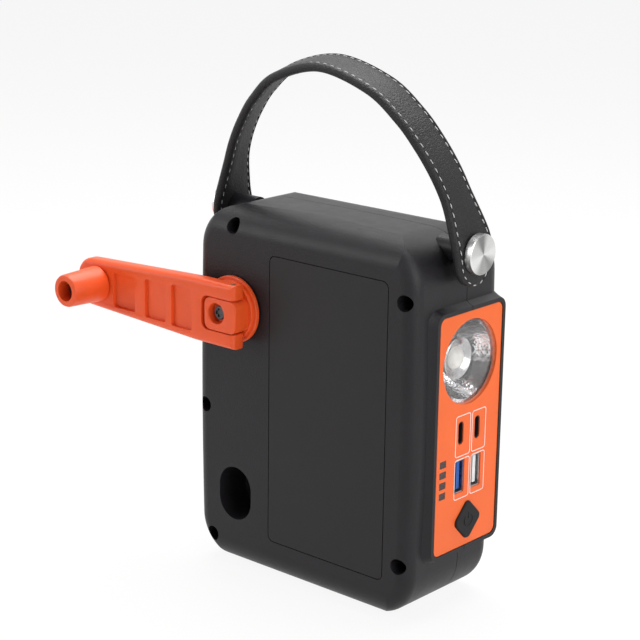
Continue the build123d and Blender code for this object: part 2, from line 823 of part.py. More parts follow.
with BuildPart() as usb_a_tongue_near:
    usb_a_blade(port_rows[0])
save(usb_a_tongue_near.part, "usb_a_tongue_near")

with BuildPart() as usb_a_tongue_far:
    usb_a_blade(port_rows[1])
save(usb_a_tongue_far.part, "usb_a_tongue_far")

with BuildPart() as usb_c_socket_near:
    usb_c_body(port_rows[0])
save(usb_c_socket_near.part, "usb_c_socket_near")

with BuildPart() as usb_c_socket_far:
    usb_c_body(port_rows[1])
save(usb_c_socket_far.part, "usb_c_socket_far")

with BuildPart() as port_board:
    outline = rectangle_x(port_board_x - port_board_thickness, 0, port_board_z, *port_board_size,
                          port_board_corner)
    extrude(outline, amount=port_board_thickness)
    for y, z in port_posts:
        cylinder_x(small_screw_radius + fit, port_board_x - port_board_thickness - over, port_board_x + over,
                   y, z, Mode.SUBTRACT)
save(port_board.part, "port_board")

with BuildPart() as port_board_screws:
    back = port_board_x - port_board_thickness
    tip = port_board_x + small_screw_bite - small_screw_tip_gap
    for y, z in port_posts:
        cylinder_x(2 * small_screw_radius, back - small_screw_head_height, back, y, z)
        cylinder_x(small_screw_radius, back, tip, y, z)
save(port_board_screws.part, "port_board_screws")

# ---------------------------------------------------------------- power button and its switch
button_top_x = panel_x + button_proud
button_back_x = panel_back_x - fit - button_flange_thickness
stem_end_x = button_back_x - button_stem_length
plunger_end_x = stem_end_x - button_travel - switch_gap

with BuildPart() as power_button:
    extrude(button_outline(button_back_x, 0), amount=button_top_x - button_back_x)
    fillet(faces().sort_by(Axis.X)[-1].edges(), radius=button_edge)
    extrude(button_outline(button_back_x, button_flange), amount=button_flange_thickness)
    cylinder_x(button_stem_radius, stem_end_x, button_back_x + embed, button_y, button_z)
save(power_button.part, "power_button")

with BuildPart() as button_switch:
    switch = rectangle_x(port_board_x, button_y, button_z, switch_side, switch_side, switch_corner)
    extrude(switch, amount=switch_height)
    cylinder_x(switch_plunger_radius, port_board_x + switch_height, plunger_end_x, button_y, button_z)
save(button_switch.part, "button_switch")

# ---------------------------------------------------------------- crank
with BuildPart() as crank_hub:
    cylinder_y(flange_radius, flange_back_y, flange_back_y - flange_thickness / 2, hub_x, hub_z)
    cylinder_y(flange_radius - flange_step, flange_back_y - flange_thickness / 2, flange_front_y, hub_x, hub_z)
    block_left = pin_x - block_reach
    block_right = pin_x + block_tail
    block = rectangle_y(flange_front_y + embed, (block_left + block_right) / 2, hub_z,
                        block_right - block_left, block_height, block_corner)
    extrude(block, amount=flange_front_y + embed - arm_front_y)
    fillet(faces().sort_by(Axis.Y)[0].edges(), radius=block_edge)
    cylinder_y(counterbore_radius, arm_front_y + counterbore_depth, arm_front_y - over, hub_x, hub_z,
               Mode.SUBTRACT)
    cylinder_y(shaft_radius + seated, flange_back_y + over, shaft_front_y, hub_x, hub_z, Mode.SUBTRACT)
    cylinder_y(hub_screw_radius + fit, flange_back_y, arm_front_y, hub_x, hub_z, Mode.SUBTRACT)
    with BuildSketch(Plane.XY.offset(hub_z - arm_fork_height / 2)) as pin_bore:
        with Locations((pin_x, pin_y)):
            Circle(pin_radius + seated)
    extrude(pin_bore.sketch, amount=arm_fork_height, mode=Mode.SUBTRACT)
    # the flange is cut away where the ends of the fork swing past it
    for side in (-1, 1):
        notch = rectangle_y(flange_back_y + over, pin_x, hub_z + side * (block_height + arm_fork_height) / 2,
                            2 * fork_swing_radius, arm_fork_height, pocket_corner)
        extrude(notch, amount=flange_thickness + 2 * over, mode=Mode.SUBTRACT)
save(crank_hub.part, "crank_hub")

with BuildPart() as crank_hinge_pin:
    with BuildSketch(Plane.XY.offset(hub_z - arm_fork_height / 2 + fit)) as pin_round:
        with Locations((pin_x, pin_y)):
            Circle(pin_radius)
    extrude(pin_round.sketch, amount=arm_fork_height - 2 * fit)
save(crank_hinge_pin.part, "crank_hinge_pin")

with BuildPart() as hub_screw:
    seat_y = arm_front_y + counterbore_depth
    cylinder_y(screw_head_radius, seat_y, seat_y - screw_head_height, hub_x, hub_z)
    cylinder_y(hub_screw_radius, shaft_front_y + hub_screw_bite, seat_y, hub_x, hub_z)
save(hub_screw.part, "hub_screw")

with BuildPart() as drive_shaft:
    cylinder_y(shaft_radius, shaft_back_y, shaft_front_y + seated, hub_x, hub_z)
    chamfer(edges().filter_by(GeomType.CIRCLE), length=shaft_chamfer)
    cylinder_y(hub_screw_radius + seated, shaft_front_y + hub_screw_bite + over, shaft_front_y - over,
               hub_x, hub_z, Mode.SUBTRACT)
    with BuildSketch(Plane.XZ.offset(-clip_y - clip_thickness - running)) as groove:
        with Locations((hub_x, hub_z)):
            Circle(shaft_radius + over)
            Circle(clip_bore, mode=Mode.SUBTRACT)
    extrude(groove.sketch, amount=clip_thickness + 2 * running, mode=Mode.SUBTRACT)
save(drive_shaft.part, "drive_shaft")

with BuildPart() as shaft_clip:
    with BuildSketch(Plane.XZ.offset(-clip_y - clip_thickness)) as ring:
        with Locations((hub_x, hub_z)):
            Circle(shaft_radius + clip_width)
            Circle(clip_bore + seated, mode=Mode.SUBTRACT)
        with Locations((hub_x, hub_z - shaft_radius)):
            Rectangle(clip_width, 2 * shaft_radius, mode=Mode.SUBTRACT)
    extrude(ring.sketch, amount=clip_thickness)
save(shaft_clip.part, "shaft_clip")

with BuildPart() as shaft_bush:
    cylinder_y(bush_radius, bush_back_y, face_y + bush_sink, hub_x, hub_z)
    cylinder_y(shaft_radius + running, bush_back_y + over, face_y - over, hub_x, hub_z, Mode.SUBTRACT)
save(shaft_bush.part, "shaft_bush")

arm_right_x = pin_x + arm_fork_overhang
arm_left_x = knob_x - arm_end_overhang

with BuildPart() as crank_arm:
    with BuildSketch(Plane.XZ.offset(-arm_back_y)) as arm_outline:
        with BuildLine():
            half_fork = arm_fork_height / 2
            half_end = arm_end_height / 2
            taper_x = slot_end_x - arm_taper_start
            Polyline((arm_right_x, hub_z - half_fork), (arm_right_x, hub_z + half_fork),
                     (taper_x, hub_z + half_fork), (arm_left_x, hub_z + half_end),
                     (arm_left_x, hub_z - half_end), (taper_x, hub_z - half_fork), close=True)
        make_face()
        fillet(arm_outline.vertices().group_by(Axis.X)[0], radius=arm_end_corner)
        fillet(arm_outline.vertices().group_by(Axis.X)[-1], radius=arm_fork_corner)
    extrude(arm_outline.sketch, amount=arm_thickness)
    fillet(faces().filter_by(Axis.Y).edges(), radius=arm_edge)
    slot_length = arm_right_x - slot_end_x + 2 * over
    slot = rectangle_y(arm_back_y + over, slot_end_x + slot_length / 2, hub_z, slot_length,
                       block_height + 2 * knob_gap, slot_corner)
    extrude(slot, amount=arm_thickness + 2 * over, mode=Mode.SUBTRACT)
    for distance, width, height in arm_pockets:
        pocket = rectangle_y(arm_front_y, hub_x - distance, hub_z, width, height, pocket_corner)
        extrude(pocket, amount=-pocket_depth, mode=Mode.SUBTRACT)
    with BuildSketch(Plane.XY.offset(hub_z - arm_fork_height)) as eye:
        with Locations((pin_x, pin_y)):
            Circle(pin_radius + running)
    extrude(eye.sketch, amount=2 * arm_fork_height, mode=Mode.SUBTRACT)
    cylinder_y(knob_axle_radius + seated, arm_back_y + over, arm_front_y - over, knob_x, hub_z, Mode.SUBTRACT)
save(crank_arm.part, "crank_arm")

knob_base_y = arm_front_y - knob_gap
knob_seat_y = knob_tip_y + knob_bore_depth

with BuildPart() as crank_knob:
    with BuildSketch(Plane.XY.offset(hub_z)) as knob_profile:
        with BuildLine():
            Polyline((knob_x + knob_axle_radius + running, knob_base_y),
                     (knob_x + knob_base_radius, knob_base_y),
                     (knob_x + knob_base_radius, knob_base_y - knob_collar),
                     (knob_x + knob_tip_radius, knob_tip_y),
                     (knob_x + knob_bore_radius, knob_tip_y), (knob_x + knob_bore_radius, knob_seat_y),
                     (knob_x + knob_axle_radius + running, knob_seat_y), close=True)
        make_face()
    revolve(knob_profile.sketch, axis=Axis((knob_x, 0, hub_z), (0, 1, 0)))
    outer_rim = edges().filter_by(GeomType.CIRCLE).filter_by(lambda e: abs(e.radius - knob_tip_radius) < 0.01)
    fillet(outer_rim, radius=knob_edge)
save(crank_knob.part, "crank_knob")

with BuildPart() as knob_axle:
    axle_seat_y = knob_seat_y - knob_gap
    cylinder_y(knob_axle_radius, arm_back_y - embed, axle_seat_y, knob_x, hub_z)
    cylinder_y(knob_axle_head_radius, axle_seat_y, axle_seat_y - knob_axle_head_height, knob_x, hub_z)
save(knob_axle.part, "knob_axle")

# ---------------------------------------------------------------- gear train
with BuildPart() as drive_gear:
    wheel = gear_outline(drive_gear_y + gear_face, hub_x, hub_z, drive_teeth, first_module, idler_bearing,
                         shaft_radius + seated)
    extrude(wheel, amount=gear_face)
    with BuildSketch(Plane.XZ.offset(-(rear_plate_y - running))) as collar:
        with Locations((hub_x, hub_z)):
            Circle(shaft_radius + drive_collar)
            Circle(shaft_radius + seated, mode=Mode.SUBTRACT)
    extrude(collar.sketch, amount=rear_plate_y - running - drive_gear_y - gear_face)
save(drive_gear.part, "drive_gear")

with BuildPart() as idler_gear:
    pinion_back_y = idler_gear_y + pinion_overlap
    pinion = gear_outline(pinion_back_y, idler_x, idler_z, idler_pinion_teeth, first_module,
                          idler_bearing + 180 + 180 / idler_pinion_teeth, idler_axle_radius + running)
    extrude(pinion, amount=pinion_back_y - pinion_front_y)
    wheel = gear_outline(idler_gear_y + gear_face, idler_x, idler_z, idler_teeth, second_module,
                         rotor_bearing, idler_axle_radius + running)
    extrude(wheel, amount=gear_face)
    with BuildSketch(Plane.XZ.offset(-(rear_plate_y - running))) as collar:
        with Locations((idler_x, idler_z)):
            Circle(idler_axle_radius + idler_collar)
            Circle(idler_axle_radius + running, mode=Mode.SUBTRACT)
    extrude(collar.sketch, amount=rear_plate_y - running - idler_gear_y - gear_face)
save(idler_gear.part, "idler_gear")

with BuildPart() as idler_axle:
    cylinder_y(idler_axle_radius, plate_back_y, idler_axle_front_y + idler_axle_sink, idler_x, idler_z)
save(idler_axle.part, "idler_axle")

with BuildPart() as gearbox_plate:
    with BuildSketch(Plane.XZ.offset(-plate_back_y)) as plate:
        with Locations(*gearbox_posts):
            Circle(gearbox_post_radius + plate_margin)
        with Locations((rotor_x, rotor_z)):
            Circle(plate_nose_radius)
        make_hull()
        with Locations((hub_x, hub_z)):
            Circle(shaft_radius + running, mode=Mode.SUBTRACT)
        with Locations((idler_x, idler_z)):
            Circle(idler_axle_radius + seated, mode=Mode.SUBTRACT)
        with Locations((rotor_x, rotor_z)):
            Circle(nose_radius + seated, mode=Mode.SUBTRACT)
        with Locations(*gearbox_posts):
            Circle(small_screw_radius + fit, mode=Mode.SUBTRACT)
    extrude(plate.sketch, amount=plate_thickness)
save(gearbox_plate.part, "gearbox_plate")

with BuildPart() as gearbox_screws:
    for x, z in gearbox_posts:
        cylinder_y(2 * small_screw_radius, plate_back_y + small_screw_head_height, plate_back_y, x, z)
        cylinder_y(small_screw_radius, plate_back_y, rear_plate_y - small_screw_bite + small_screw_tip_gap,
                   x, z)
save(gearbox_screws.part, "gearbox_screws")

generator_back_y = plate_back_y + generator_length

with BuildPart() as generator_case:
    cylinder_y(generator_radius, generator_back_y, plate_back_y, rotor_x, rotor_z)
    fillet(edges().sort_by(Axis.Y)[-1], radius=generator_edge)
    cylinder_y(nose_radius, plate_back_y, rear_plate_y, rotor_x, rotor_z)
    cylinder_y(generator_radius - generator_skin, generator_back_y - generator_skin,
               plate_back_y + generator_skin, rotor_x, rotor_z, Mode.SUBTRACT)
    cylinder_y(rotor_shaft_radius + running, generator_back_y - generator_skin, rear_plate_y - over,
               rotor_x, rotor_z, Mode.SUBTRACT)
save(generator_case.part, "generator_case")

with BuildPart() as generator_rotor:
    cavity_back_y = generator_back_y - generator_skin
    cavity_front_y = plate_back_y + generator_skin
    pinion_start_y = rear_plate_y - rotor_pinion_gap
    pinion_end_y = idler_gear_y - rotor_pinion_lead
    cylinder_y(rotor_shaft_radius, cavity_back_y - rotor_end_gap, pinion_end_y - rotor_pinion_gap,
               rotor_x, rotor_z)
    cylinder_y(magnet_radius, cavity_back_y - magnet_gap, cavity_front_y + magnet_gap, rotor_x, rotor_z)
    pinion = gear_outline(pinion_start_y, rotor_x, rotor_z, rotor_teeth, second_module,
                          rotor_bearing + 180 + 180 / rotor_teeth, rotor_shaft_radius - rotor_end_gap)
    extrude(pinion, amount=pinion_start_y - pinion_end_y)
save(generator_rotor.part, "generator_rotor")

# ---------------------------------------------------------------- batteries
cell_spots = [(cell_x + (column - (cell_columns - 1) / 2) * cell_pitch_x,
               cell_y + (row - (cell_rows - 1) / 2) * cell_pitch_y)
              for column in range(cell_columns) for row in range(cell_rows)]
holder_depth = 2 * (cell_y - face_y - wall)

with BuildPart() as battery_cells:
    for x, y in cell_spots:
        with BuildSketch(Plane.XY.offset(cell_floor_z)) as cell:
            with Locations((x, y)):
                Circle(cell_radius)
        extrude(cell.sketch, amount=cell_length)
        with BuildSketch(Plane.XY.offset(cell_floor_z + cell_length)) as cap:
            with Locations((x, y)):
                Circle(cell_cap_radius)
        extrude(cap.sketch, amount=cell_cap_height)
save(battery_cells.part, "battery_cells")


def holder(floor_z):
    """Build one bored bracket that holds all the cells, its floor at `floor_z`."""
    width = cell_columns * cell_pitch_x + 2 * holder_margin
    with BuildSketch(Plane.XY.offset(floor_z)) as block:
        with Locations((cell_x, cell_y)):
            RectangleRounded(width, holder_depth, holder_corner)
        with Locations(*cell_spots):
            Circle(cell_radius + seated, mode=Mode.SUBTRACT)
    extrude(block.sketch, amount=holder_height)


with BuildPart() as cell_holder_lower:
    holder(cell_floor_z + holder_inset)
save(cell_holder_lower.part, "cell_holder_lower")

with BuildPart() as cell_holder_upper:
    holder(cell_floor_z + cell_length - holder_height - holder_inset)
save(cell_holder_upper.part, "cell_holder_upper")

# ---------------------------------------------------------------- main board and lamp
with BuildPart() as main_board:
    board = rectangle_y(main_board_y + board_thickness, main_board_x, main_board_z, *main_board_size,
                        board_corner)
    extrude(board, amount=board_thickness)
    for z in main_board_post_z:
        cylinder_y(small_screw_radius + fit, main_board_y + board_thickness + over, main_board_y - over,
                   main_board_x, z, Mode.SUBTRACT)
save(main_board.part, "main_board")

with BuildPart() as board_components:
    for x, z, side, height, corner in chips:
        chip = rectangle_y(main_board_y, main_board_x + x, main_board_z + z, side, side, corner)
        extrude(chip, amount=height)
    for x, z in capacitors:
        cylinder_y(capacitor_radius, main_board_y, main_board_y - capacitor_height, main_board_x + x,
                   main_board_z + z)
save(board_components.part, "board_components")

with BuildPart() as main_board_screws:
    back = main_board_y + board_thickness
    for z in main_board_post_z:
        cylinder_y(2 * small_screw_radius, back + small_screw_head_height, back, main_board_x, z)
        cylinder_y(small_screw_radius, back, main_board_y - small_screw_bite + small_screw_tip_gap,
                   main_board_x, z)
save(main_board_screws.part, "main_board_screws")

with BuildPart() as lamp_diffuser:
    plate = rectangle_y(lamp_depth + lamp_proud, 0, lamp_z, lamp_width, lamp_height, lamp_corner)
    extrude(plate, amount=lamp_thickness)
    fillet(faces().sort_by(Axis.Y)[-1].edges(), radius=lamp_edge)
save(lamp_diffuser.part, "lamp_diffuser")

with BuildPart() as lamp_board:
    board = rectangle_y(lamp_board_y + lamp_board_thickness, 0, lamp_z, *lamp_board_size, board_corner)
    extrude(board, amount=lamp_board_thickness)
    for x, z in lamp_board_posts:
        cylinder_y(small_screw_radius + fit, lamp_board_y + lamp_board_thickness + over, lamp_board_y - over,
                   x, z, Mode.SUBTRACT)
save(lamp_board.part, "lamp_board")

with BuildPart() as lamp_leds:
    led_front_y = lamp_board_y + lamp_board_thickness + lamp_led_height
    led_columns, led_rows = lamp_led_counts
    for column in range(led_columns):
        for row in range(led_rows):
            x = (column - (led_columns - 1) / 2) * lamp_led_pitch[0]
            z = lamp_z + (row - (led_rows - 1) / 2) * lamp_led_pitch[1]
            extrude(rectangle_y(led_front_y, x, z, *lamp_led_size, lamp_led_corner), amount=lamp_led_height)
save(lamp_leds.part, "lamp_leds")

with BuildPart() as lamp_board_screws:
    for x, z in lamp_board_posts:
        tip = lamp_board_y + small_screw_bite - small_screw_tip_gap
        cylinder_y(small_screw_radius, tip, lamp_board_y, x, z)
        cylinder_y(2 * small_screw_radius, lamp_board_y, lamp_board_y - small_screw_head_height, x, z)
save(lamp_board_screws.part, "lamp_board_screws")

# ---------------------------------------------------------------- strap and its studs
strap_origin = (0, strap_y, strap_pivot_z)
swing = radians(strap_swing)
arch_plane = Plane(origin=strap_origin, x_dir=(1, 0, 0), z_dir=(0, -cos(swing), -sin(swing)))
edge_plane = Plane(origin=strap_origin, x_dir=(0, -cos(swing), -sin(swing)), z_dir=(-1, 0, 0))

with BuildPart() as carry_strap:
    with BuildSketch(arch_plane) as band:
        with BuildLine() as arch:
            leg = Line((strap_reach, -strap_end_margin), (strap_reach, strap_straight))
            shoulder = JernArc(leg @ 1, leg % 1, strap_shoulder_radius, strap_shoulder_turn)
            flank = JernArc(shoulder @ 1, shoulder % 1, strap_side_radius, strap_side_turn)
            crown_turn = 90 - strap_shoulder_turn - strap_side_turn
            crown_radius = (flank @ 1).X / sin(radians(crown_turn))
            JernArc(flank @ 1, flank % 1, crown_radius, crown_turn)
            mirror(about=Plane.YZ)
            offset(amount=strap_thickness / 2, side=Side.BOTH, kind=Kind.INTERSECTION)
        make_face()
    extrude(band.sketch, amount=strap_width, both=True)
    # seen edge on: wide rounded ends about the studs, a narrower middle for the hand
    with BuildSketch(edge_plane) as edge_view:
        narrow, wide = strap_waist / 2, strap_width / 2
        low, high = strap_taper
        top = 2 * strap_reach
        Polygon((-wide, wide - strap_end_margin), (wide, wide - strap_end_margin), (wide, low),
                (narrow, high), (narrow, top), (-narrow, top), (-narrow, high), (-wide, low), align=None)
        with Locations((0, wide - strap_end_margin)):
            Circle(wide)
    extrude(edge_view.sketch, amount=2 * strap_reach, both=True, mode=Mode.INTERSECT)
    cylinder_x(stud_post_radius + 2 * running, -stud_head_x, stud_head_x, strap_y, strap_pivot_z,
               Mode.SUBTRACT)
save(carry_strap.part, "carry_strap")


def stud(side):
    """Build one turned stud: a wide head on a post that runs through the strap into the case."""
    face_x = stud_head_x + stud_thickness
    cylinder_x(stud_post_radius, side * (stud_root_x + stud_end_gap), side * (stud_head_x + embed), strap_y,
               strap_pivot_z)
    cylinder_x(stud_radius, side * stud_head_x, side * face_x, strap_y, strap_pivot_z)
    rim = faces().sort_by(Axis.X)[-1 if side > 0 else 0]
    chamfer(rim.edges(), length=stud_edge)


with BuildPart() as strap_stud_right:
    stud(1)
save(strap_stud_right.part, "strap_stud_right")

with BuildPart() as strap_stud_left:
    stud(-1)
save(strap_stud_left.part, "strap_stud_left")
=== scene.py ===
"""Hand crank phone charger: finishes, crank, strap, screws, print, torch optic and studio round the model."""
import json
import logging
from dataclasses import dataclass
from enum import Enum
from math import cos, pi, radians, sin, sqrt
from typing import Any, Union

import bmesh
import bpy
from mathutils import Matrix, Vector

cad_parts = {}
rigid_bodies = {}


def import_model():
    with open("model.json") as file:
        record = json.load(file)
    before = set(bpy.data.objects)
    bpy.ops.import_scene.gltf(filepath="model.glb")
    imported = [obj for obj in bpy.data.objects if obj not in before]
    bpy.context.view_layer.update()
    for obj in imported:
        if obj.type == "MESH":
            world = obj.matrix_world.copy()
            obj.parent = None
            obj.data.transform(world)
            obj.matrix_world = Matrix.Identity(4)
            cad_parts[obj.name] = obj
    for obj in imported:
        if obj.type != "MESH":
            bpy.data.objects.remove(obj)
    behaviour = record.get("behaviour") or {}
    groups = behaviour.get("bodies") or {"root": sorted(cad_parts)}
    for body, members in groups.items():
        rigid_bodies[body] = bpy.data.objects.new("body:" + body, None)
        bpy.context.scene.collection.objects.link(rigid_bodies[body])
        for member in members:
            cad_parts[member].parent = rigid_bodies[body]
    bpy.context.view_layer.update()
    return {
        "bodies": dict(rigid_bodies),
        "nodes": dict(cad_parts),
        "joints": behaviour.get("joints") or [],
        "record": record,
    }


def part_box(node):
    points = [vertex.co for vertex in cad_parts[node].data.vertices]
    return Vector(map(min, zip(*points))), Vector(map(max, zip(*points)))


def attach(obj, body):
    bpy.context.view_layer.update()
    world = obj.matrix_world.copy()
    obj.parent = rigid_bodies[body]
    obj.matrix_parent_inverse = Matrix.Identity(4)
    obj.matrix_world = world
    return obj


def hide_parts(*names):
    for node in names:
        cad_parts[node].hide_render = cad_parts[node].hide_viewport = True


LOG = logging.getLogger("charger")
MM = 0.001
SHARP_ANGLE = radians(40)
Triple = tuple[float, float, float]
Colour = Triple
Number = Union[float, "Sock"]


def srgb(red: int, green: int, blue: int) -> Colour:
    """Turn a colour of 0-255 screen values into linear light."""
    def channel(value: float) -> float:
        """Linear value of one channel."""
        value /= 255
        return value / 12.92 if value <= 0.04045 else ((value + 0.055) / 1.055) ** 2.4
    return channel(red), channel(green), channel(blue)


# ---------------------------------------------------------------- shader building
class Sock:
    """An output socket that takes part in Python arithmetic."""

    def __init__(self, shader: "Shader", socket: Any) -> None:
        """Keep the shader and the socket that is wrapped."""
        self.shader = shader
        self.socket = socket

    def _maths(self, operation: str, first: Number, second: Number) -> "Sock":
        """Add a Math node for two numbers."""
        return self.shader.maths(operation, first, second)

    def __add__(self, other: Number) -> "Sock":
        """Sum."""
        return self._maths("ADD", self, other)

    __radd__ = __add__

    def __sub__(self, other: Number) -> "Sock":
        """Difference."""
        return self._maths("SUBTRACT", self, other)

    def __rsub__(self, other: Number) -> "Sock":
        """Difference with the socket on the right."""
        return self._maths("SUBTRACT", other, self)

    def __mul__(self, other: Number) -> "Sock":
        """Product."""
        return self._maths("MULTIPLY", self, other)

    __rmul__ = __mul__

    def __pow__(self, other: Number) -> "Sock":
        """Power."""
        return self._maths("POWER", self, other)


class Shader:
    """A node tree under construction, ending in one surface output."""

    def __init__(self, name: str, tree: Any = None) -> None:
        """Start an empty material, or take over the node tree that is given.

        Args:
            name: the material's name.
            tree: a node tree to fill instead of a new material's.
        """
        self.material = None
        if tree is None:
            self.material = bpy.data.materials.new(name)
            self.material.use_nodes = True
            tree = self.material.node_tree
        self.tree = tree
        self.tree.nodes.clear()

    def node(self, kind: str, settings: dict[str, Any], inputs: dict[Any, Any], output: Any = 0) -> Sock:
        """Add a node, set it up and link its inputs.

        Args:
            kind: the node's type.
            settings: properties set first; "stops" holds a ramp's (position, grey) pairs.
            inputs: values or sockets by input name or number.
            output: name or number of the output that is returned.

        Returns:
            The wrapped output socket, empty for a node that ends the tree.
        """
        made = self.tree.nodes.new(kind)
        for key, value in settings.items():
            if key == "stops":
                ramp = made.color_ramp
                for stop, (place, grey) in zip(ramp.elements, (value[0], value[-1])):
                    stop.position, stop.color = place, (grey, grey, grey, 1)
                for place, grey in value[1:-1]:
                    ramp.elements.new(place).color = (grey, grey, grey, 1)
            else:
                setattr(made, key, value)
        for key, value in inputs.items():
            if isinstance(value, Sock):
                self.tree.links.new(value.socket, made.inputs[key])
            elif isinstance(value, tuple) and len(value) == 3 and made.inputs[key].type == "RGBA":
                made.inputs[key].default_value = (*value, 1)
            else:
                made.inputs[key].default_value = value
        return Sock(self, made.outputs[output] if made.outputs else None)

    def maths(self, operation: str, *values: Number) -> Sock:
        """Add a Math node for the values."""
        return self.node("ShaderNodeMath", {"operation": operation}, dict(enumerate(values)))

    def place(self) -> Sock:
        """Object coordinates."""
        return self.node("ShaderNodeTexCoord", {}, {}, "Object")

    def noise(self, scale: float, detail: float = 3.0, stretch: Colour = (1, 1, 1)) -> Sock:
        """Noise on object coordinates, scale in repeats a metre, stretched by factors along the axes."""
        spot = self.node("ShaderNodeMapping", {}, {"Vector": self.place(), "Scale": stretch})
        return self.node("ShaderNodeTexNoise", {}, {"Vector": spot, "Scale": scale, "Detail": detail}, "Fac")

    def cells(self, scale: float, feature: str = "F1") -> Sock:
        """Distance pattern of random cells."""
        return self.node("ShaderNodeTexVoronoi", {"feature": feature},
                         {"Vector": self.place(), "Scale": scale}, "Distance")

    def ramp(self, value: Sock, stops: tuple[tuple[float, float], ...]) -> Sock:
        """Grey ramp of a value."""
        return self.node("ShaderNodeValToRGB", {"stops": stops}, {"Fac": value})

    def blend(self, factor: Number, first: Union[Colour, Sock], second: Union[Colour, Sock]) -> Sock:
        """Colour between first and second."""
        return self.node("ShaderNodeMix", {"data_type": "RGBA"}, {0: factor, 6: first, 7: second}, 2)

    def tint(self, colour: Union[Colour, Sock], shade: Sock) -> Sock:
        """Colour darkened by a grey."""
        return self.node("ShaderNodeMix", {"data_type": "RGBA", "blend_type": "MULTIPLY"},
                         {0: 1.0, 6: colour, 7: shade}, 2)

    def facing_x(self, axis_y: float, axis_z: float) -> tuple[Sock, Sock]:
        """Distances in Y and Z from an axis that runs along X, given in metres."""
        y = self.node("ShaderNodeSeparateXYZ", {}, {0: self.place()}, "Y")
        return y - axis_y, Sock(self, y.socket.node.outputs["Z"]) - axis_z

    def sectors(self, angle: Sock, count: float, shift: Number) -> Sock:
        """Wave from -1 to 1 that repeats a number of times round an axis."""
        return self.maths("SINE", angle * count + shift)

    def bump(self, height: Sock, depth: float) -> Sock:
        """Normal from a height, depth in metres."""
        return self.node("ShaderNodeBump", {}, {"Height": height, "Distance": depth, "Strength": 1.0})

    def surface(self, **sockets: Any) -> bpy.types.Material:
        """End in a Principled surface, inputs named with underscores for spaces, and return the material."""
        named = {key.replace("_", " "): value for key, value in sockets.items()}
        self.end(self.node("ShaderNodeBsdfPrincipled", {}, named))
        return self.material

    def end(self, body: Sock, kind: str = "ShaderNodeOutputMaterial") -> None:
        """Link a shader to the tree's output."""
        self.node(kind, {}, {"Surface": body})


# ---------------------------------------------------------------- finishes
class Brush(Enum):
    """The way that the marks of a metal finish run."""

    TURNED = "turned"
    DRAWN = "drawn"
    SMOOTH = "smooth"


@dataclass(frozen=True)
class MouldedPlastic:
    """Moulded plastic with a fine spark-eroded texture, faint flow marks and handling sheen."""

    name: str
    colour: Colour
    roughness: float = 0.45
    grain_per_m: float = 2600.0
    grain_depth: float = 0.00006
    variation: float = 0.12
    gloss: float = 0.5

    def make(self) -> bpy.types.Material:
        """Build the material.

        Returns:
            The material.
        """
        shader = Shader(self.name)
        flow = shader.noise(38, 4)
        grain = shader.noise(self.grain_per_m, 2)
        cloud = shader.noise(160, 5)
        shade = shader.ramp(flow * 0.6 + cloud * 0.4, ((0.3, 1 - self.variation), (0.7, 1)))
        colour = shader.tint(self.colour, shade)
        rough = cloud * 0.16 + (self.roughness - 0.08)
        pits = shader.cells(self.grain_per_m * 0.6)
        return shader.surface(Base_Color=colour, Roughness=rough, Specular_IOR_Level=self.gloss,
                              Normal=shader.bump(grain * 0.7 + pits * 0.3, self.grain_depth))


@dataclass(frozen=True)
class Metal:
    """Metal with turned, drawn or smooth marks; on a turned face, light and dark sectors are painted into the
    colour as a painted reflection.
    """

    name: str
    colour: Colour
    roughness: float = 0.28
    brush: Brush = Brush.SMOOTH
    axis_y: float = 0.0
    axis_z: float = 0.0
    marks_per_m: float = 3800.0
    depth: float = 0.00004

    def make(self) -> bpy.types.Material:
        """Build the material.

        Returns:
            The material.
        """
        shader = Shader(self.name)
        if self.brush is Brush.TURNED:
            y, z = shader.facing_x(self.axis_y, self.axis_z)
            radius = (y * y + z * z) ** 0.5
            marks = shader.node("ShaderNodeTexNoise", {"noise_dimensions": "1D"},
                                {"W": radius, "Scale": self.marks_per_m, "Detail": 1.0}, "Fac")
            # Painted reflection: light and dark sectors round the axis go into the colour below; the turned
            # marks themselves are the noise in bump and roughness.
            angle = shader.maths("ARCTAN2", z, y)
            painted_reflection_fan, fine = shader.sectors(angle, 2.0, 0.9), shader.sectors(angle, 5.0, 2.0)
            shade = shader.ramp(painted_reflection_fan * 0.34 + fine * 0.12 + 0.5, ((0.1, 0.3), (0.5, 0.72), (0.85, 1)))
        elif self.brush is Brush.DRAWN:
            marks = shader.noise(self.marks_per_m, 3, (0.04, 1, 1))
            shade = shader.ramp(marks, ((0.25, 0.7), (0.75, 1)))
        else:
            marks = shader.noise(self.marks_per_m * 0.25, 3)
            shade = shader.ramp(shader.noise(220, 4), ((0.3, 0.8), (0.7, 1)))
        colour = shader.tint(self.colour, shade)
        return shader.surface(Base_Color=colour, Metallic=1.0, Roughness=marks * 0.2 + (self.roughness - 0.1),
                              Normal=shader.bump(marks, self.depth))


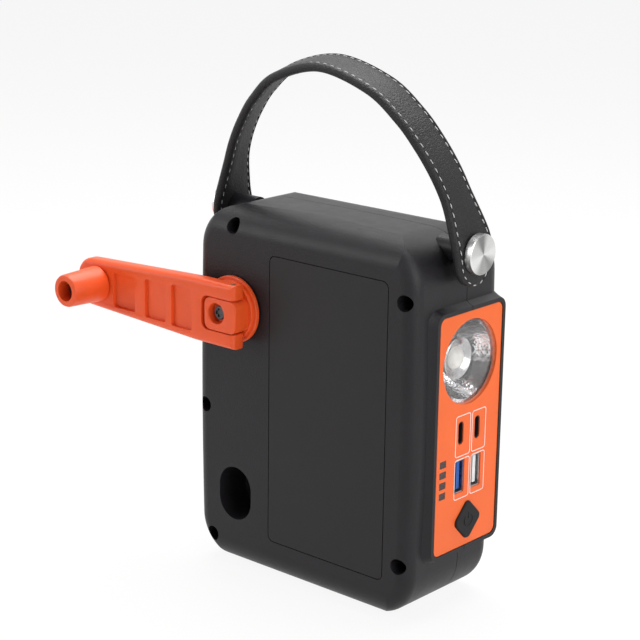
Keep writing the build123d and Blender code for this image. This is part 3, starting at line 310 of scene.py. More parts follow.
@dataclass(frozen=True)
class PeelChrome:
    """Metallised reflector with the dimpled skin that spreads a torch's beam, with light and dark sectors,
    fine rays and dimple shading painted into its colour as a painted reflection.
    """

    name: str
    colour: Colour = (0.80, 0.80, 0.81)
    axis_z: float = 0.1018
    dimples_per_m: float = 900.0
    depth: float = 0.00012

    def make(self) -> bpy.types.Material:
        """Build the material.

        Returns:
            The material.
        """
        shader = Shader(self.name)
        dimple = shader.node("ShaderNodeTexVoronoi", {"feature": "SMOOTH_F1"},
                             {"Vector": shader.place(), "Scale": self.dimples_per_m, "Smoothness": 0.6},
                             "Distance")
        y, z = shader.facing_x(0.0, self.axis_z)
        # Painted reflection: light and dark sectors and fine rays round the torch's axis, with the dimples'
        # shading, go into the colour; the dimples also bump the surface.
        angle = shader.maths("ARCTAN2", z, y)
        wander = shader.noise(420, 3)
        painted_reflection_fan = shader.sectors(angle, 3.0, wander * 2.4 - 1.0)
        ray = shader.sectors(angle, 31.0, wander * 6.0)
        light = painted_reflection_fan * 0.42 + ray * 0.07 + dimple * 0.22 + 0.42
        shade = shader.ramp(light, ((0.2, 0.12), (0.5, 0.5), (0.8, 1)))
        colour = shader.tint(self.colour, shade)
        return shader.surface(Base_Color=colour, Metallic=1.0, Roughness=wander * 0.1 + 0.1,
                              Normal=shader.bump(dimple, self.depth))


@dataclass(frozen=True)
class Leather:
    """Pebbled leather with creases and a waxed bloom."""

    name: str
    colour: Colour
    pebbles_per_m: float = 1500.0
    depth: float = 0.00018

    def make(self) -> bpy.types.Material:
        """Build the material.

        Returns:
            The material.
        """
        shader = Shader(self.name)
        pebble = shader.cells(self.pebbles_per_m)
        crack = shader.cells(self.pebbles_per_m * 0.45, "DISTANCE_TO_EDGE")
        crease = shader.ramp(crack, ((0.0, 0), (0.16, 1)))
        bloom = shader.noise(90, 5)
        worn = shader.ramp(bloom, ((0.35, 0.78), (0.7, 1.25)))
        speck = shader.ramp(shader.noise(2400, 3), ((0.56, 0), (0.72, 1)))
        colour = shader.blend(speck * 0.12, self.colour, (0.12, 0.117, 0.12))
        colour = shader.tint(colour, worn)
        height = pebble * 0.7 + crease * 0.3 + shader.noise(3600, 2) * 0.25
        return shader.surface(Base_Color=colour, Roughness=bloom * 0.2 + pebble * 0.12 + 0.36,
                              Specular_IOR_Level=0.3, Normal=shader.bump(height, self.depth))


@dataclass(frozen=True)
class Thread:
    """Waxed sewing thread, twisted."""

    name: str
    colour: Colour

    def make(self) -> bpy.types.Material:
        """Build the material.

        Returns:
            The material.
        """
        shader = Shader(self.name)
        twist = shader.noise(2600, 2, (1, 1, 0.5))
        soil = shader.noise(180, 3)
        colour = shader.blend(soil * 0.5, self.colour, srgb(150, 148, 146))
        return shader.surface(Base_Color=colour, Roughness=twist * 0.2 + 0.55,
                              Normal=shader.bump(twist, 0.00015))


@dataclass(frozen=True)
class ClearCover:
    """Clear or smoked cover, lightly scuffed."""

    name: str
    colour: Colour = (0.97, 0.98, 0.98)
    roughness: float = 0.02
    cover: float = 0.18

    def make(self) -> bpy.types.Material:
        """Build the material.

        Returns:
            The material.
        """
        shader = Shader(self.name)
        scuff = shader.ramp(shader.noise(900, 5, (1, 0.3, 1)), ((0.5, 0), (0.8, 1)))
        return shader.surface(Base_Color=self.colour, Roughness=scuff * 0.12 + self.roughness,
                              Alpha=scuff * 0.05 + self.cover, Specular_IOR_Level=0.6,
                              Normal=shader.bump(scuff, 0.00001))


@dataclass(frozen=True)
class Glow:
    """Phosphor or opal diffuser: evenly milky, finely dimpled, unlit."""

    name: str
    colour: Colour
    deep: Colour
    roughness: float = 0.4
    facet: float = 0.00004

    def make(self) -> bpy.types.Material:
        """Build the material.

        Returns:
            The material.
        """
        shader = Shader(self.name)
        milk = shader.noise(420, 4)
        return shader.surface(Base_Color=shader.blend(milk, self.colour, self.deep),
                              Roughness=milk * 0.15 + self.roughness,
                              Normal=shader.bump(shader.cells(620), self.facet))


class Palette:
    """One material for each of the record's slots, with the few that single nodes need."""

    def __init__(self, stud_y: float, stud_z: float) -> None:
        """Build every finish.

        Args:
            stud_y: depth of the strap studs' axis, in metres.
            stud_z: height of the strap studs' axis, in metres.
        """
        black = srgb(30, 28, 31)
        finishes = (
            MouldedPlastic("housing_black", black, 0.42, 2300, 0.00012, 0.2, 0.26),
            MouldedPlastic("orange_panel", srgb(236, 102, 38), 0.42, 3000, 0.00004, 0.06, 0.3),
            MouldedPlastic("orange_crank", srgb(232, 84, 32), 0.40, 2600, 0.00005, 0.08, 0.35),
            MouldedPlastic("rubber_black", srgb(30, 29, 31), 0.6, 3400, 0.00008, 0.2, 0.22),
            Leather("leather_black", srgb(24, 23, 25)),
            Metal("stud_metal", (0.80, 0.80, 0.79), 0.30, Brush.TURNED, stud_y, stud_z),
            Metal("screw_steel", (0.10, 0.10, 0.105), 0.42, Brush.SMOOTH),
            Metal("bright_steel", (0.66, 0.66, 0.66), 0.26, Brush.DRAWN),
            Metal("brass_pin", (0.72, 0.47, 0.24), 0.3, Brush.SMOOTH),
            PeelChrome("reflector_chrome"),
            Metal("optic_grey", (0.55, 0.55, 0.56), 0.2, Brush.SMOOTH),
            ClearCover("clear_lens", (0.8, 0.8, 0.8), 0.02, 0.06),
            ClearCover("gauge_smoke", srgb(58, 36, 32), 0.1, 0.86),
            Glow("led_yellow", srgb(236, 214, 120), srgb(226, 190, 80)),
            Glow("led_dome", srgb(240, 240, 236), srgb(214, 212, 204), 0.12),
            Metal("socket_steel", (0.62, 0.62, 0.63), 0.3, Brush.DRAWN),
            MouldedPlastic("tongue_blue", srgb(16, 84, 168), 0.38, 3000, 0.00003, 0.08),
            MouldedPlastic("tongue_white", srgb(226, 226, 226), 0.4, 3000, 0.00003, 0.05),
            MouldedPlastic("board_green", srgb(26, 88, 52), 0.34, 1800, 0.00004, 0.25),
            MouldedPlastic("component_black", srgb(30, 30, 32), 0.5, 2400, 0.00004, 0.2),
            MouldedPlastic("gear_nylon", srgb(222, 216, 200), 0.44, 2200, 0.00003, 0.08),
            MouldedPlastic("cell_wrap", srgb(46, 120, 70), 0.3, 1200, 0.00002, 0.1),
            MouldedPlastic("inner_plastic", srgb(50, 50, 52), 0.5, 2200, 0.00006, 0.15),
            Glow("lamp_opal", srgb(238, 238, 234), srgb(222, 222, 216), 0.35, 0.0004),
            MouldedPlastic("label_film", srgb(33, 31, 32), 0.5, 1500, 0.00003, 0.1, 0.26),
            MouldedPlastic("print_white", srgb(232, 230, 228), 0.5, 2800, 0.00002, 0.06),
            Thread("thread_white", srgb(196, 194, 192)),
        )
        self.materials = {finish.name: finish.make() for finish in finishes}

    def __getitem__(self, name: str) -> bpy.types.Material:
        """The material of that name."""
        return self.materials[name]

    def dress_nodes(self, frame: dict[str, Any], special: dict[str, str]) -> None:
        """Give every CAD node its material.

        Args:
            special: finish by node, where it differs from the record's slot.
        """
        for entry in frame["record"]["subparts"]:
            node = entry["node"]
            material = self[special.get(node, entry["material_slot"])]
            thing = frame["nodes"][node]
            thing.data.materials.clear()
            thing.data.materials.append(material)
            for slot in thing.material_slots:
                slot.material = material


# ---------------------------------------------------------------- pieces
def soften(mesh: bmesh.types.BMesh, edges: list[bmesh.types.BMEdge], radius: float, segments: int) -> None:
    """Round edges of a mesh."""
    bmesh.ops.bevel(mesh, geom=edges, offset=radius, segments=segments, profile=0.5, affect="EDGES",
                    material=-1)


def level(edge: bmesh.types.BMEdge, axis: int, slack: float = 1e-4) -> bool:
    """Whether an edge keeps to one place along an axis."""
    return abs(edge.verts[0].co[axis] - edge.verts[1].co[axis]) < slack


def fresh_verts(made: list[Any]) -> list[bmesh.types.BMVert]:
    """The vertices among what an operator made."""
    return [item for item in made if isinstance(item, bmesh.types.BMVert)]


def settle(name: str, mesh: bmesh.types.BMesh, material: bpy.types.Material, body: str,
           smooth: bool = True) -> bpy.types.Object:
    """Turn a mesh in millimetres into a finished piece that rides on a body.

    Args:
        name: the piece's name.
        mesh: its bmesh, freed here.
        material: its finish.
        body: the body that carries it.
        smooth: whether its faces shade smoothly.

    Returns:
        The new object.
    """
    bmesh.ops.transform(mesh, matrix=Matrix.Scale(MM, 4), verts=mesh.verts)
    bmesh.ops.remove_doubles(mesh, verts=mesh.verts, dist=1e-7)
    bmesh.ops.recalc_face_normals(mesh, faces=mesh.faces)
    for face in mesh.faces:
        face.smooth = smooth
    data = bpy.data.meshes.new(name)
    mesh.to_mesh(data)
    mesh.free()
    data.materials.append(material)
    piece = bpy.data.objects.new(name, data)
    bpy.context.scene.collection.objects.link(piece)
    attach(piece, body)
    LOG.info("%s: %d faces on %s", name, len(data.polygons), body)
    return piece


def slab(mesh: bmesh.types.BMesh, low: Vector, high: Vector, axis: int, corner: float) -> None:
    """Add a block whose four edges along one axis are rounded.

    Args:
        mesh: the bmesh that takes it.
        low: its lowest corner.
        high: its highest corner.
        axis: the axis of the rounded edges, 0 to 2.
        corner: radius of those edges.
    """
    made = bmesh.ops.create_cube(mesh, size=1, matrix=Matrix.Translation((low + high) / 2)
                                 @ Matrix.Diagonal((*(high - low), 1)))["verts"]
    edges = {e for v in made for e in v.link_edges}
    soften(mesh, [e for e in edges if not level(e, axis, 1e-6)], corner, 6)


def rod(mesh: bmesh.types.BMesh, start: float, end: float, radius: float, x: float, z: float,
        segments: int = 64) -> None:
    """Add a round bar along Y between two depths."""
    place = Matrix.Translation((x, (start + end) / 2, z)) @ Matrix.Rotation(pi / 2, 4, "X")
    bmesh.ops.create_cone(mesh, cap_ends=True, segments=segments, radius1=radius, radius2=radius,
                          depth=abs(end - start), matrix=place)


def upright(mesh: bmesh.types.BMesh, radius: float, length: float, x: float, y: float, z: float) -> None:
    """Add a round bar along Z about a middle point."""
    bmesh.ops.create_cone(mesh, cap_ends=True, segments=32, radius1=radius, radius2=radius, depth=length,
                          matrix=Matrix.Translation((x, y, z)))


def shade(piece: bpy.types.Object) -> None:
    """Shade a piece smoothly up to its sharp edges."""
    for face in piece.data.polygons:
        face.use_smooth = True
    piece.data.set_sharp_from_angle(angle=SHARP_ANGLE)


def cut(piece: bpy.types.Object, tools: list[tuple[bmesh.types.BMesh, str]], bevel: float = 0.0,
        crossing: bool = False) -> None:
    """Cut a piece with meshes in millimetres, round its edges and keep the outcome as its mesh.

    Args:
        piece: the piece that is cut.
        tools: each cutting mesh with its operation, DIFFERENCE or INTERSECT.
        bevel: radius of the rounding of sharp edges afterwards.
        crossing: whether a cutting mesh runs through itself.
    """
    helpers = []
    for mesh, operation in tools:
        bmesh.ops.transform(mesh, matrix=Matrix.Scale(MM, 4), verts=mesh.verts)
        bmesh.ops.recalc_face_normals(mesh, faces=mesh.faces)
        data = bpy.data.meshes.new("tool")
        mesh.to_mesh(data)
        mesh.free()
        tool = bpy.data.objects.new("tool", data)
        bpy.context.scene.collection.objects.link(tool)
        helpers.append(tool)
        step = piece.modifiers.new("cut", "BOOLEAN")
        step.object, step.operation, step.solver, step.use_self = tool, operation, "EXACT", crossing
    if bevel:
        edge = piece.modifiers.new("edge", "BEVEL")
        edge.width, edge.segments = bevel * MM, 3
        edge.limit_method, edge.angle_limit = "ANGLE", radians(38)
    material = piece.data.materials[0]
    shaped = bpy.data.meshes.new_from_object(piece.evaluated_get(bpy.context.evaluated_depsgraph_get()))
    piece.modifiers.clear()
    piece.data = shaped
    shaped.materials.clear()
    shaped.materials.append(material)
    for tool in helpers:
        bpy.data.objects.remove(tool)


@dataclass
class Crank:
    """Folding crank as the photograph shows it: round hub, forked arm and turning knob, sizes in mm."""

    palette: Palette
    hub_x: float = -34.5
    hub_z: float = 111.3
    flange: tuple[Triple, ...] = ((-33.0, -34.6, 13.7), (-34.5, -35.8, 12.2))
    block_low: Triple = (-41.0, -43.6, 104.2)
    block_high: Triple = (-23.9, -35.5, 117.5)
    block_corner: float = 3.2
    counterbore: tuple[float, float] = (4.2, 3.8)
    hub_edge: float = 0.55
    flange_edge: float = 0.45
    pin: Triple = (-28.5, -39.85, 1.22)
    pin_slack: float = 0.04
    pin_edge: float = 0.25
    clear: float = 9.0
    arm_back: float = -36.1
    arm_front: float = -43.6
    arm_left: float = -116.5
    arm_right: float = -25.3
    fork_half: float = 13.0
    end_half: float = 9.7
    arm_drop: float = 0.5
    taper_x: float = -47.0
    end_corner: float = 7.4
    edge: float = 2.2
    end_round: float = 2.3
    slot_end: float = -42.6
    slot_half: float = 7.0
    arm_edge: float = 0.35
    pockets: tuple[Triple, ...] = ((-87.5, 13.2, 14.6), (-69.0, 12.2, 16.2), (-53.8, 11.6, 17.4))
    pocket_corner: float = 1.3
    pocket_drop: float = 1.1
    pocket_depth: float = 1.5
    knob_x: float = -103.2
    knob_base: float = -43.9
    knob_tip: float = -62.0
    knob_radii: tuple[float, float, float, float] = (7.5, 6.8, 4.3, 2.1)
    knob_seat: float = -54.9

    def hub(self) -> bpy.types.Object:
        """Shape the hub with its round flange, and bore it for the screw and the pin.

        Returns:
            The hub.
        """
        mesh = bmesh.new()
        slab(mesh, Vector(self.block_low), Vector(self.block_high), 1, self.block_corner)
        hub = settle("crank_hub_moulding", mesh, self.palette["orange_crank"], "crank")
        bore = bmesh.new()
        radius, depth = self.counterbore
        rod(bore, self.arm_front - 1, self.arm_front + depth, radius, self.hub_x, self.hub_z)
        cut(hub, [(bore, "DIFFERENCE"), (self._pin_bore(), "DIFFERENCE")], self.hub_edge)
        shade(hub)
        for number, (start, end, wide) in enumerate(self.flange):
            disc = bmesh.new()
            rod(disc, start, end, wide, self.hub_x, self.hub_z)
            rims = [e for e in disc.edges if all(abs(v.co.y - end) < 1e-4 for v in e.verts)]
            soften(disc, rims, self.flange_edge, 3)
            ring = settle(f"crank_flange_{number}", disc, self.palette["orange_crank"], "crank")
            shade(ring)
        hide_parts("crank_hub")
        return hub

    def _pin_bore(self) -> bmesh.types.BMesh:
        """Make the cutter for the hinge pin's bore.

        Returns:
            The cutting mesh.
        """
        x, y, radius = self.pin
        mesh = bmesh.new()
        upright(mesh, radius, 3 * self.fork_half, x, y, self.hub_z)
        return mesh

    def hinge_pin(self) -> bpy.types.Object:
        """Turn the hinge pin, its ends flush with the fork.

        Returns:
            The pin.
        """
        x, y, radius = self.pin
        mesh = bmesh.new()
        upright(mesh, radius - self.pin_slack, 2 * self.fork_half - 0.1, x, y, self.hub_z - self.arm_drop)
        soften(mesh, [e for e in mesh.edges if level(e, 2)], self.pin_edge, 2)
        pin = settle("crank_hinge_bar", mesh, self.palette["brass_pin"], "crank")
        shade(pin)
        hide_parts("crank_hinge_pin")
        return pin

    def arm(self) -> bpy.types.Object:
        """Shape the arm: tapered plate, rounded edges, fork, three pockets.

        Returns:
            The arm.
        """
        mesh = bmesh.new()
        outline = ((self.arm_right, -self.fork_half), (self.arm_right, self.fork_half),
                   (self.taper_x, self.fork_half), (self.arm_left, self.end_half),
                   (self.arm_left, -self.end_half), (self.taper_x, -self.fork_half))
        arm_z = self.hub_z - self.arm_drop
        plate = mesh.faces.new([mesh.verts.new((x, self.arm_back, arm_z + z)) for x, z in outline])
        made = bmesh.ops.extrude_face_region(mesh, geom=[plate])["geom"]
        bmesh.ops.translate(mesh, vec=(0, self.arm_front - self.arm_back, 0), verts=fresh_verts(made))
        corners = [e for e in mesh.edges if not level(e, 1, 1) and e.verts[0].co.x < self.arm_left + 1]
        soften(mesh, corners, self.end_corner, 10)
        rims = [e for e in mesh.edges if level(e, 1)
                and not all(v.co.x > self.arm_right - 0.001 for v in e.verts)]
        soften(mesh, rims, self.edge, 4)
        arm = settle("crank_arm_moulding", mesh, self.palette["orange_crank"], "arm")
        profile = bmesh.new()
        tall = 2 * self.fork_half + 4
        slab(profile, Vector((self.arm_left - self.clear, self.arm_front, self.hub_z - tall)),
             Vector((self.arm_right, self.arm_back, self.hub_z + tall)), 2, self.end_round)
        slot = bmesh.new()
        middle_z = (self.block_low[2] + self.block_high[2]) / 2
        slab(slot, Vector((self.slot_end, self.arm_front - 3, middle_z - self.slot_half)),
             Vector((self.arm_right + self.clear, self.arm_back + 3, middle_z + self.slot_half)), 1,
             self.block_corner)
        tools = [(profile, "INTERSECT"), (slot, "DIFFERENCE"), (self._pin_bore(), "DIFFERENCE")]
        for x, wide, high in self.pockets:
            pocket = bmesh.new()
            middle = Vector((x, self.arm_front, self.hub_z - self.pocket_drop))
            half = Vector((wide / 2, self.pocket_depth, high / 2))
            slab(pocket, middle - half, middle + half, 1, self.pocket_corner)
            tools.append((pocket, "DIFFERENCE"))
        cut(arm, tools, self.arm_edge)
        shade(arm)
        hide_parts("crank_arm")
        return arm

    def knob(self) -> bpy.types.Object:
        """Turn the knob about its axle.

        Returns:
            The knob.
        """
        base, tip, bore, axle = self.knob_radii
        path = ((axle, self.knob_base), (base - 0.5, self.knob_base), (base, self.knob_base - 0.5),
                (tip, self.knob_tip + 0.9), (tip - 0.3, self.knob_tip + 0.25), (tip - 0.9, self.knob_tip),
                (bore, self.knob_tip), (bore - 0.2, self.knob_seat), (axle, self.knob_seat))
        mesh = bmesh.new()
        verts = [mesh.verts.new((self.knob_x + radius, y, self.hub_z)) for radius, y in path]
        edges = [mesh.edges.new(pair) for pair in zip(verts, verts[1:] + verts[:1])]
        bmesh.ops.spin(mesh, geom=verts + edges, cent=(self.knob_x, 0, self.hub_z), axis=(0, 1, 0),
                       angle=2 * pi, steps=56, use_merge=True)
        knob = settle("crank_knob_moulding", mesh, self.palette["orange_crank"], "knob")
        shade(knob)
        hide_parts("crank_knob")
        return knob


@dataclass
class CarryStrap:
    """Stitched leather strap: an arch of bound leather with wide round ends about the studs, sizes in mm."""

    palette: Palette
    pivot_y: float = -5.2
    pivot_z: float = 146.0
    lean: float = 8.8
    # half spans at heights above the studs, measured off the photograph through the fitted camera
    reach: tuple[tuple[float, float], ...] = ((61.9, -13.0), (61.9, -5.0), (61.7, 3.0), (60.0, 10.0),
                                              (56.7, 20.0), (52.2, 30.0), (45.8, 40.0), (37.2, 50.0),
                                              (23.6, 60.0), (0.0, 66.0))
    end_round: float = 11.0
    end_centre: float = -2.0
    waist: float = 16.6
    neck: tuple[float, float] = (2.0, 24.0)
    thickness: float = 3.4
    rim_lift: float = 1.099
    sway: float = -1.3
    twist: float = 11.0
    stitch_inset: float = 2.3
    stitch_pitch: float = 3.55
    stitch_size: Triple = (2.3, 0.55, 0.4)
    stitch_slant: float = 0.12
    groove: float = 0.82
    steps: int = 12

    def __post_init__(self) -> None:
        """Work out the stations of the arch, right end to left end."""
        right = [Vector((x, d, 0)) for x, d in self.reach]
        left = [Vector((-x, d, 0)) for x, d in self.reach[-2::-1]]
        points = right + left
        points = [points[0] * 2 - points[1]] + points + [points[-1] * 2 - points[-2]]
        self.line: list[Vector] = []
        for first, second, third, fourth in zip(points, points[1:], points[2:], points[3:]):
            fine = self.steps * (2 if second.y < 0 or third.y < 0 else 1)
            for step in range(fine):
                t = step / fine
                self.line.append(0.5 * (2 * second + (third - first) * t
                                        + (2 * first - 5 * second + 4 * third - fourth) * t * t
                                        + (3 * second - first - 3 * third + fourth) * t ** 3))
        self.line.append(points[-2])

    def half_width(self, rise: float) -> float:
        """Half of the strap's width at a height above the studs.

        Args:
            rise: height above the studs' axis, in the strap's own plane.

        Returns:
            The half width.
        """
        if rise < self.end_centre:
            return sqrt(max(self.end_round ** 2 - (self.end_centre - rise) ** 2, 0.0))
        low, high = self.neck
        t = min(max((rise - low) / (high - low), 0.0), 1.0)
        ease = t * t * (3 - 2 * t)
        return self.end_round + (self.waist / 2 - self.end_round) * ease

    def station(self, index: int) -> tuple[Vector, Vector, Vector, Vector]:
        """Frame of the strap at one station.

        Args:
            index: number of the station.

        Returns:
            The centre, the tangent, the outward normal and the direction across, towards the back.
        """
        lean = radians(self.lean)
        side, up = Vector((1, 0, 0)), Vector((0, -sin(lean), cos(lean)))
        across = Vector((0, cos(lean), sin(lean)))
        here = self.line[index]
        step = self.line[min(index + 1, len(self.line) - 1)] - self.line[max(index - 1, 0)]
        step.normalize()
        rise = max(here.y, 0) / self.reach[-1][1]
        centre = Vector((0, self.pivot_y, self.pivot_z)) + side * (here.x + self.sway * rise) + up * here.y
        tangent = side * step.x + up * step.y
        outward = side * step.y - up * step.x
        turn = 0.0
        if here.x < 0:
            turn = radians(self.twist) * sin(pi * min(max(here.y / self.reach[-1][1], 0), 1)) ** 0.7
        return (centre, tangent, outward * cos(turn) - across * sin(turn),
                across * cos(turn) + outward * sin(turn))

    def section(self, half: float) -> list[tuple[float, float]]:
        """Outline of the strap cut across: flat faces, a groove for each row of stitches and bound edges.

        Args:
            half: half width at that station.

        Returns:
            Points as (across, outward), going round once.
        """
        depth = self.thickness / 2
        edge = min(depth, half * 0.98)
        row, flat = half - self.stitch_inset, half - edge
        left = [(-half, 0.0)]
        for turn in (155, 130, 108):
            left.append((-half + (1 + cos(radians(turn))) * edge, sin(radians(turn))))
        if row > 1.2:
            side = [(-flat, self.rim_lift), (-row - 0.6, 1.0), (-row, self.groove), (-row + 0.7, 1.0),
                    (-row * 0.45, 1.05)]
            top = side + [(0.0, 1.07)] + [(-a, l) for a, l in reversed(side)]
        else:
            top = [((0.2 * k - 1) * flat, 1.0) for k in range(11)]
        upper = left + top + [(-a, l) for a, l in reversed(left)]
        lower = [(a, -l) for a, l in reversed(upper[1:-1])]
        fade = min(1.0, 2.2 * max(half / self.end_round, 0.02))
        return [(a, l * depth * fade) for a, l in upper + lower]

    def leather(self) -> bpy.types.Object:
        """Sweep the section along the arch, one extruded ring a station.

        Returns:
            The strap.
        """
        mesh = bmesh.new()
        ring: list[bmesh.types.BMVert] = []
        for index in range(len(self.line)):
            centre, _, outward, across = self.station(index)
            half = max(self.half_width(self.line[index].y), 0.15)
            places = [centre + across * a + outward * l for a, l in self.section(half)]
            if not ring:
                ring = [mesh.verts.new(place) for place in places]
                mesh.faces.new(ring)
                continue
            edges = [mesh.edges.get((a, b)) for a, b in zip(ring, ring[1:] + ring[:1])]
            made = bmesh.ops.extrude_edge_only(mesh, edges=edges)["geom"]
            fresh = set(fresh_verts(made))
            following = [next(e.other_vert(v) for e in v.link_edges if e.other_vert(v) in fresh)
                         for v in ring]
            for vert, place in zip(following, places):
                vert.co = place
            ring = following
        mesh.faces.new(ring)
        piece = settle("strap_leather", mesh, self.palette["leather_black"], "strap")
        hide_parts("carry_strap")
        return piece

    def rows(self) -> list[tuple[Vector, Vector, Vector]]:
        """Places of all stitches, on both rows and both faces.

        Returns:
            Centre, direction and outward normal of each stitch.
        """
        found = []
        for side in (-1, 1):
            for face in (-1, 1):
                track = []
                for index in range(len(self.line)):
                    half = self.half_width(self.line[index].y) - self.stitch_inset
                    if half < 0:
                        continue
                    centre, _, outward, across = self.station(index)
                    lift = face * (self.thickness / 2 * 0.9 + 0.05)
                    track.append((centre + across * half * side + outward * lift, outward * face))
                walked, due = 0.0, self.stitch_pitch / 2
                for (first, normal), (second, _) in zip(track, track[1:]):
                    step = (second - first).length
                    while step > 1e-6 and walked + step >= due:
                        spot = first.lerp(second, (due - walked) / step)
                        found.append((spot, (second - first).normalized(), normal))
                        due += self.stitch_pitch
                    walked += step
        return found

    def stitches(self) -> bpy.types.Object:
        """Sew both rows with saddle stitches.

        Returns:
            The stitches as one piece.
        """
        mesh = bmesh.new()
        length, width, height = self.stitch_size
        for spot, along, normal in self.rows():
            beside = normal.cross(along).normalized()
            along = (along + beside * self.stitch_slant).normalized()
            turn = Matrix((along, normal.cross(along), normal)).transposed().to_4x4()
            bmesh.ops.create_uvsphere(mesh, u_segments=6, v_segments=4, radius=0.5,
                                      matrix=Matrix.Translation(spot) @ turn
                                      @ Matrix.Diagonal((length, width, height, 1)))
        return settle("strap_stitches", mesh, self.palette["thread_white"], "strap")


@dataclass
class CrossScrew:
    """Screw with a domed head and a cross recess, looking along -Y, in mm."""

    palette: Palette
    name: str
    node: str
    body: str
    head_height: float
    shank_radius: float
    recess_width: float = 0.28
    recess_reach: float = 0.66
    recess_depth: float = 0.6
    rim: float = 0.35

    def build(self) -> bpy.types.Object:
        """Make the screw where its CAD node is.

        Returns:
            The screw.
        """
        low, high = (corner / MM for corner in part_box(self.node))
        radius = (high.x - low.x) / 2
        middle = Vector(((low.x + high.x) / 2, 0, (low.z + high.z) / 2))
        mesh = bmesh.new()
        rod(mesh, low.y, low.y + self.head_height, radius, middle.x, middle.z, 32)
        rims = [e for e in mesh.edges if all(abs(v.co.y - low.y) < 1e-4 for v in e.verts)]
        soften(mesh, rims, self.rim, 3)
        rod(mesh, low.y + self.head_height - 0.1, high.y, self.shank_radius, middle.x, middle.z, 32)
        screw = settle(self.name, mesh, self.palette["screw_steel"], self.body, smooth=False)
        recess = bmesh.new()
        size = Matrix.Diagonal((2 * radius * self.recess_reach, 2 * self.recess_depth,
                                2 * radius * self.recess_width, 1))
        for turn in (0, 90):
            bmesh.ops.create_cube(recess, size=1, matrix=Matrix.Translation(middle + Vector((0, low.y, 0)))
                                  @ Matrix.Rotation(radians(turn), 4, "Y") @ size)
        cut(screw, [(recess, "DIFFERENCE")], crossing=True)
        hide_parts(self.node)
        return screw


@dataclass
class PanelPrint:
    """Thin printed outlines round the sockets and the raised mark on the button, sizes in mm."""

    palette: Palette
    line: float = 0.3
    proud: float = 0.05
    corner: float = 1.2
    mark_radius: float = 2.6
    mark_line: float = 0.2
    mark_gap: float = 50.0
    columns: tuple[tuple[float, float], ...] = ((-7.8, 1.6), (2.5, 11.4))
    rows: tuple[tuple[float, float], ...] = ((64.4, 81.2), (46.9, 63.4))

    def outline(self, name: str, across: tuple[float, float],
                upwards: tuple[float, float]) -> bpy.types.Object:
        """Print one rounded box on the panel.

        Args:
            name: the piece's name.
            across: its start and end in Y.
            upwards: its start and end in Z.

        Returns:
            The printed box.
        """
        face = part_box("port_panel")[1].x / MM
        half = Vector((self.proud, (across[1] - across[0]) / 2, (upwards[1] - upwards[0]) / 2))
        middle = Vector((face, sum(across) / 2, sum(upwards) / 2))
        mesh, hole = bmesh.new(), bmesh.new()
        slab(mesh, middle - half, middle + half, 0, self.corner)
        inner = Vector((4 * self.proud, half.y - self.line, half.z - self.line))
        slab(hole, middle - inner, middle + inner, 0, self.corner - self.line)
        outline = settle(name, mesh, self.palette["print_white"], "case")
        cut(outline, [(hole, "DIFFERENCE")])
        shade(outline)
        return outline

    def mark(self) -> bpy.types.Object:
        """Raise an open ring with a bar on the button.

        Returns:
            The mark.
        """
        low, high = (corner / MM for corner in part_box("power_button"))
        middle = Vector((high.x, (low.y + high.y) / 2, (low.z + high.z) / 2))
        mesh = bmesh.new()
        start = middle + Vector((0, 0, self.mark_radius))
        bmesh.ops.create_circle(mesh, cap_ends=True, segments=10, radius=self.mark_line,
                                matrix=Matrix.Translation(start) @ Matrix.Rotation(pi / 2, 4, "Y"))
        bmesh.ops.rotate(mesh, verts=mesh.verts, cent=start, matrix=Matrix.Rotation(pi / 2, 3, "Z"))
        bmesh.ops.rotate(mesh, verts=mesh.verts, cent=middle,
                         matrix=Matrix.Rotation(radians(self.mark_gap), 3, "X"))
        bmesh.ops.spin(mesh, geom=mesh.verts[:] + mesh.edges[:] + mesh.faces[:], cent=middle, axis=(1, 0, 0),
                       angle=radians(360 - 2 * self.mark_gap), steps=28, use_merge=False)
        bmesh.ops.create_cone(mesh, cap_ends=True, segments=10, radius1=self.mark_line,
                              radius2=self.mark_line, depth=self.mark_radius,
                              matrix=Matrix.Translation(middle + Vector((0, 0, self.mark_radius * 0.75))))
        return settle("button_mark", mesh, self.palette["rubber_black"], "button")

    def build(self) -> None:
        """Print all four outlines and the mark."""
        for row, upwards in enumerate(self.rows):
            for column, across in enumerate(self.columns):
                self.outline(f"print_box_{row}_{column}", across, upwards)
        self.mark()


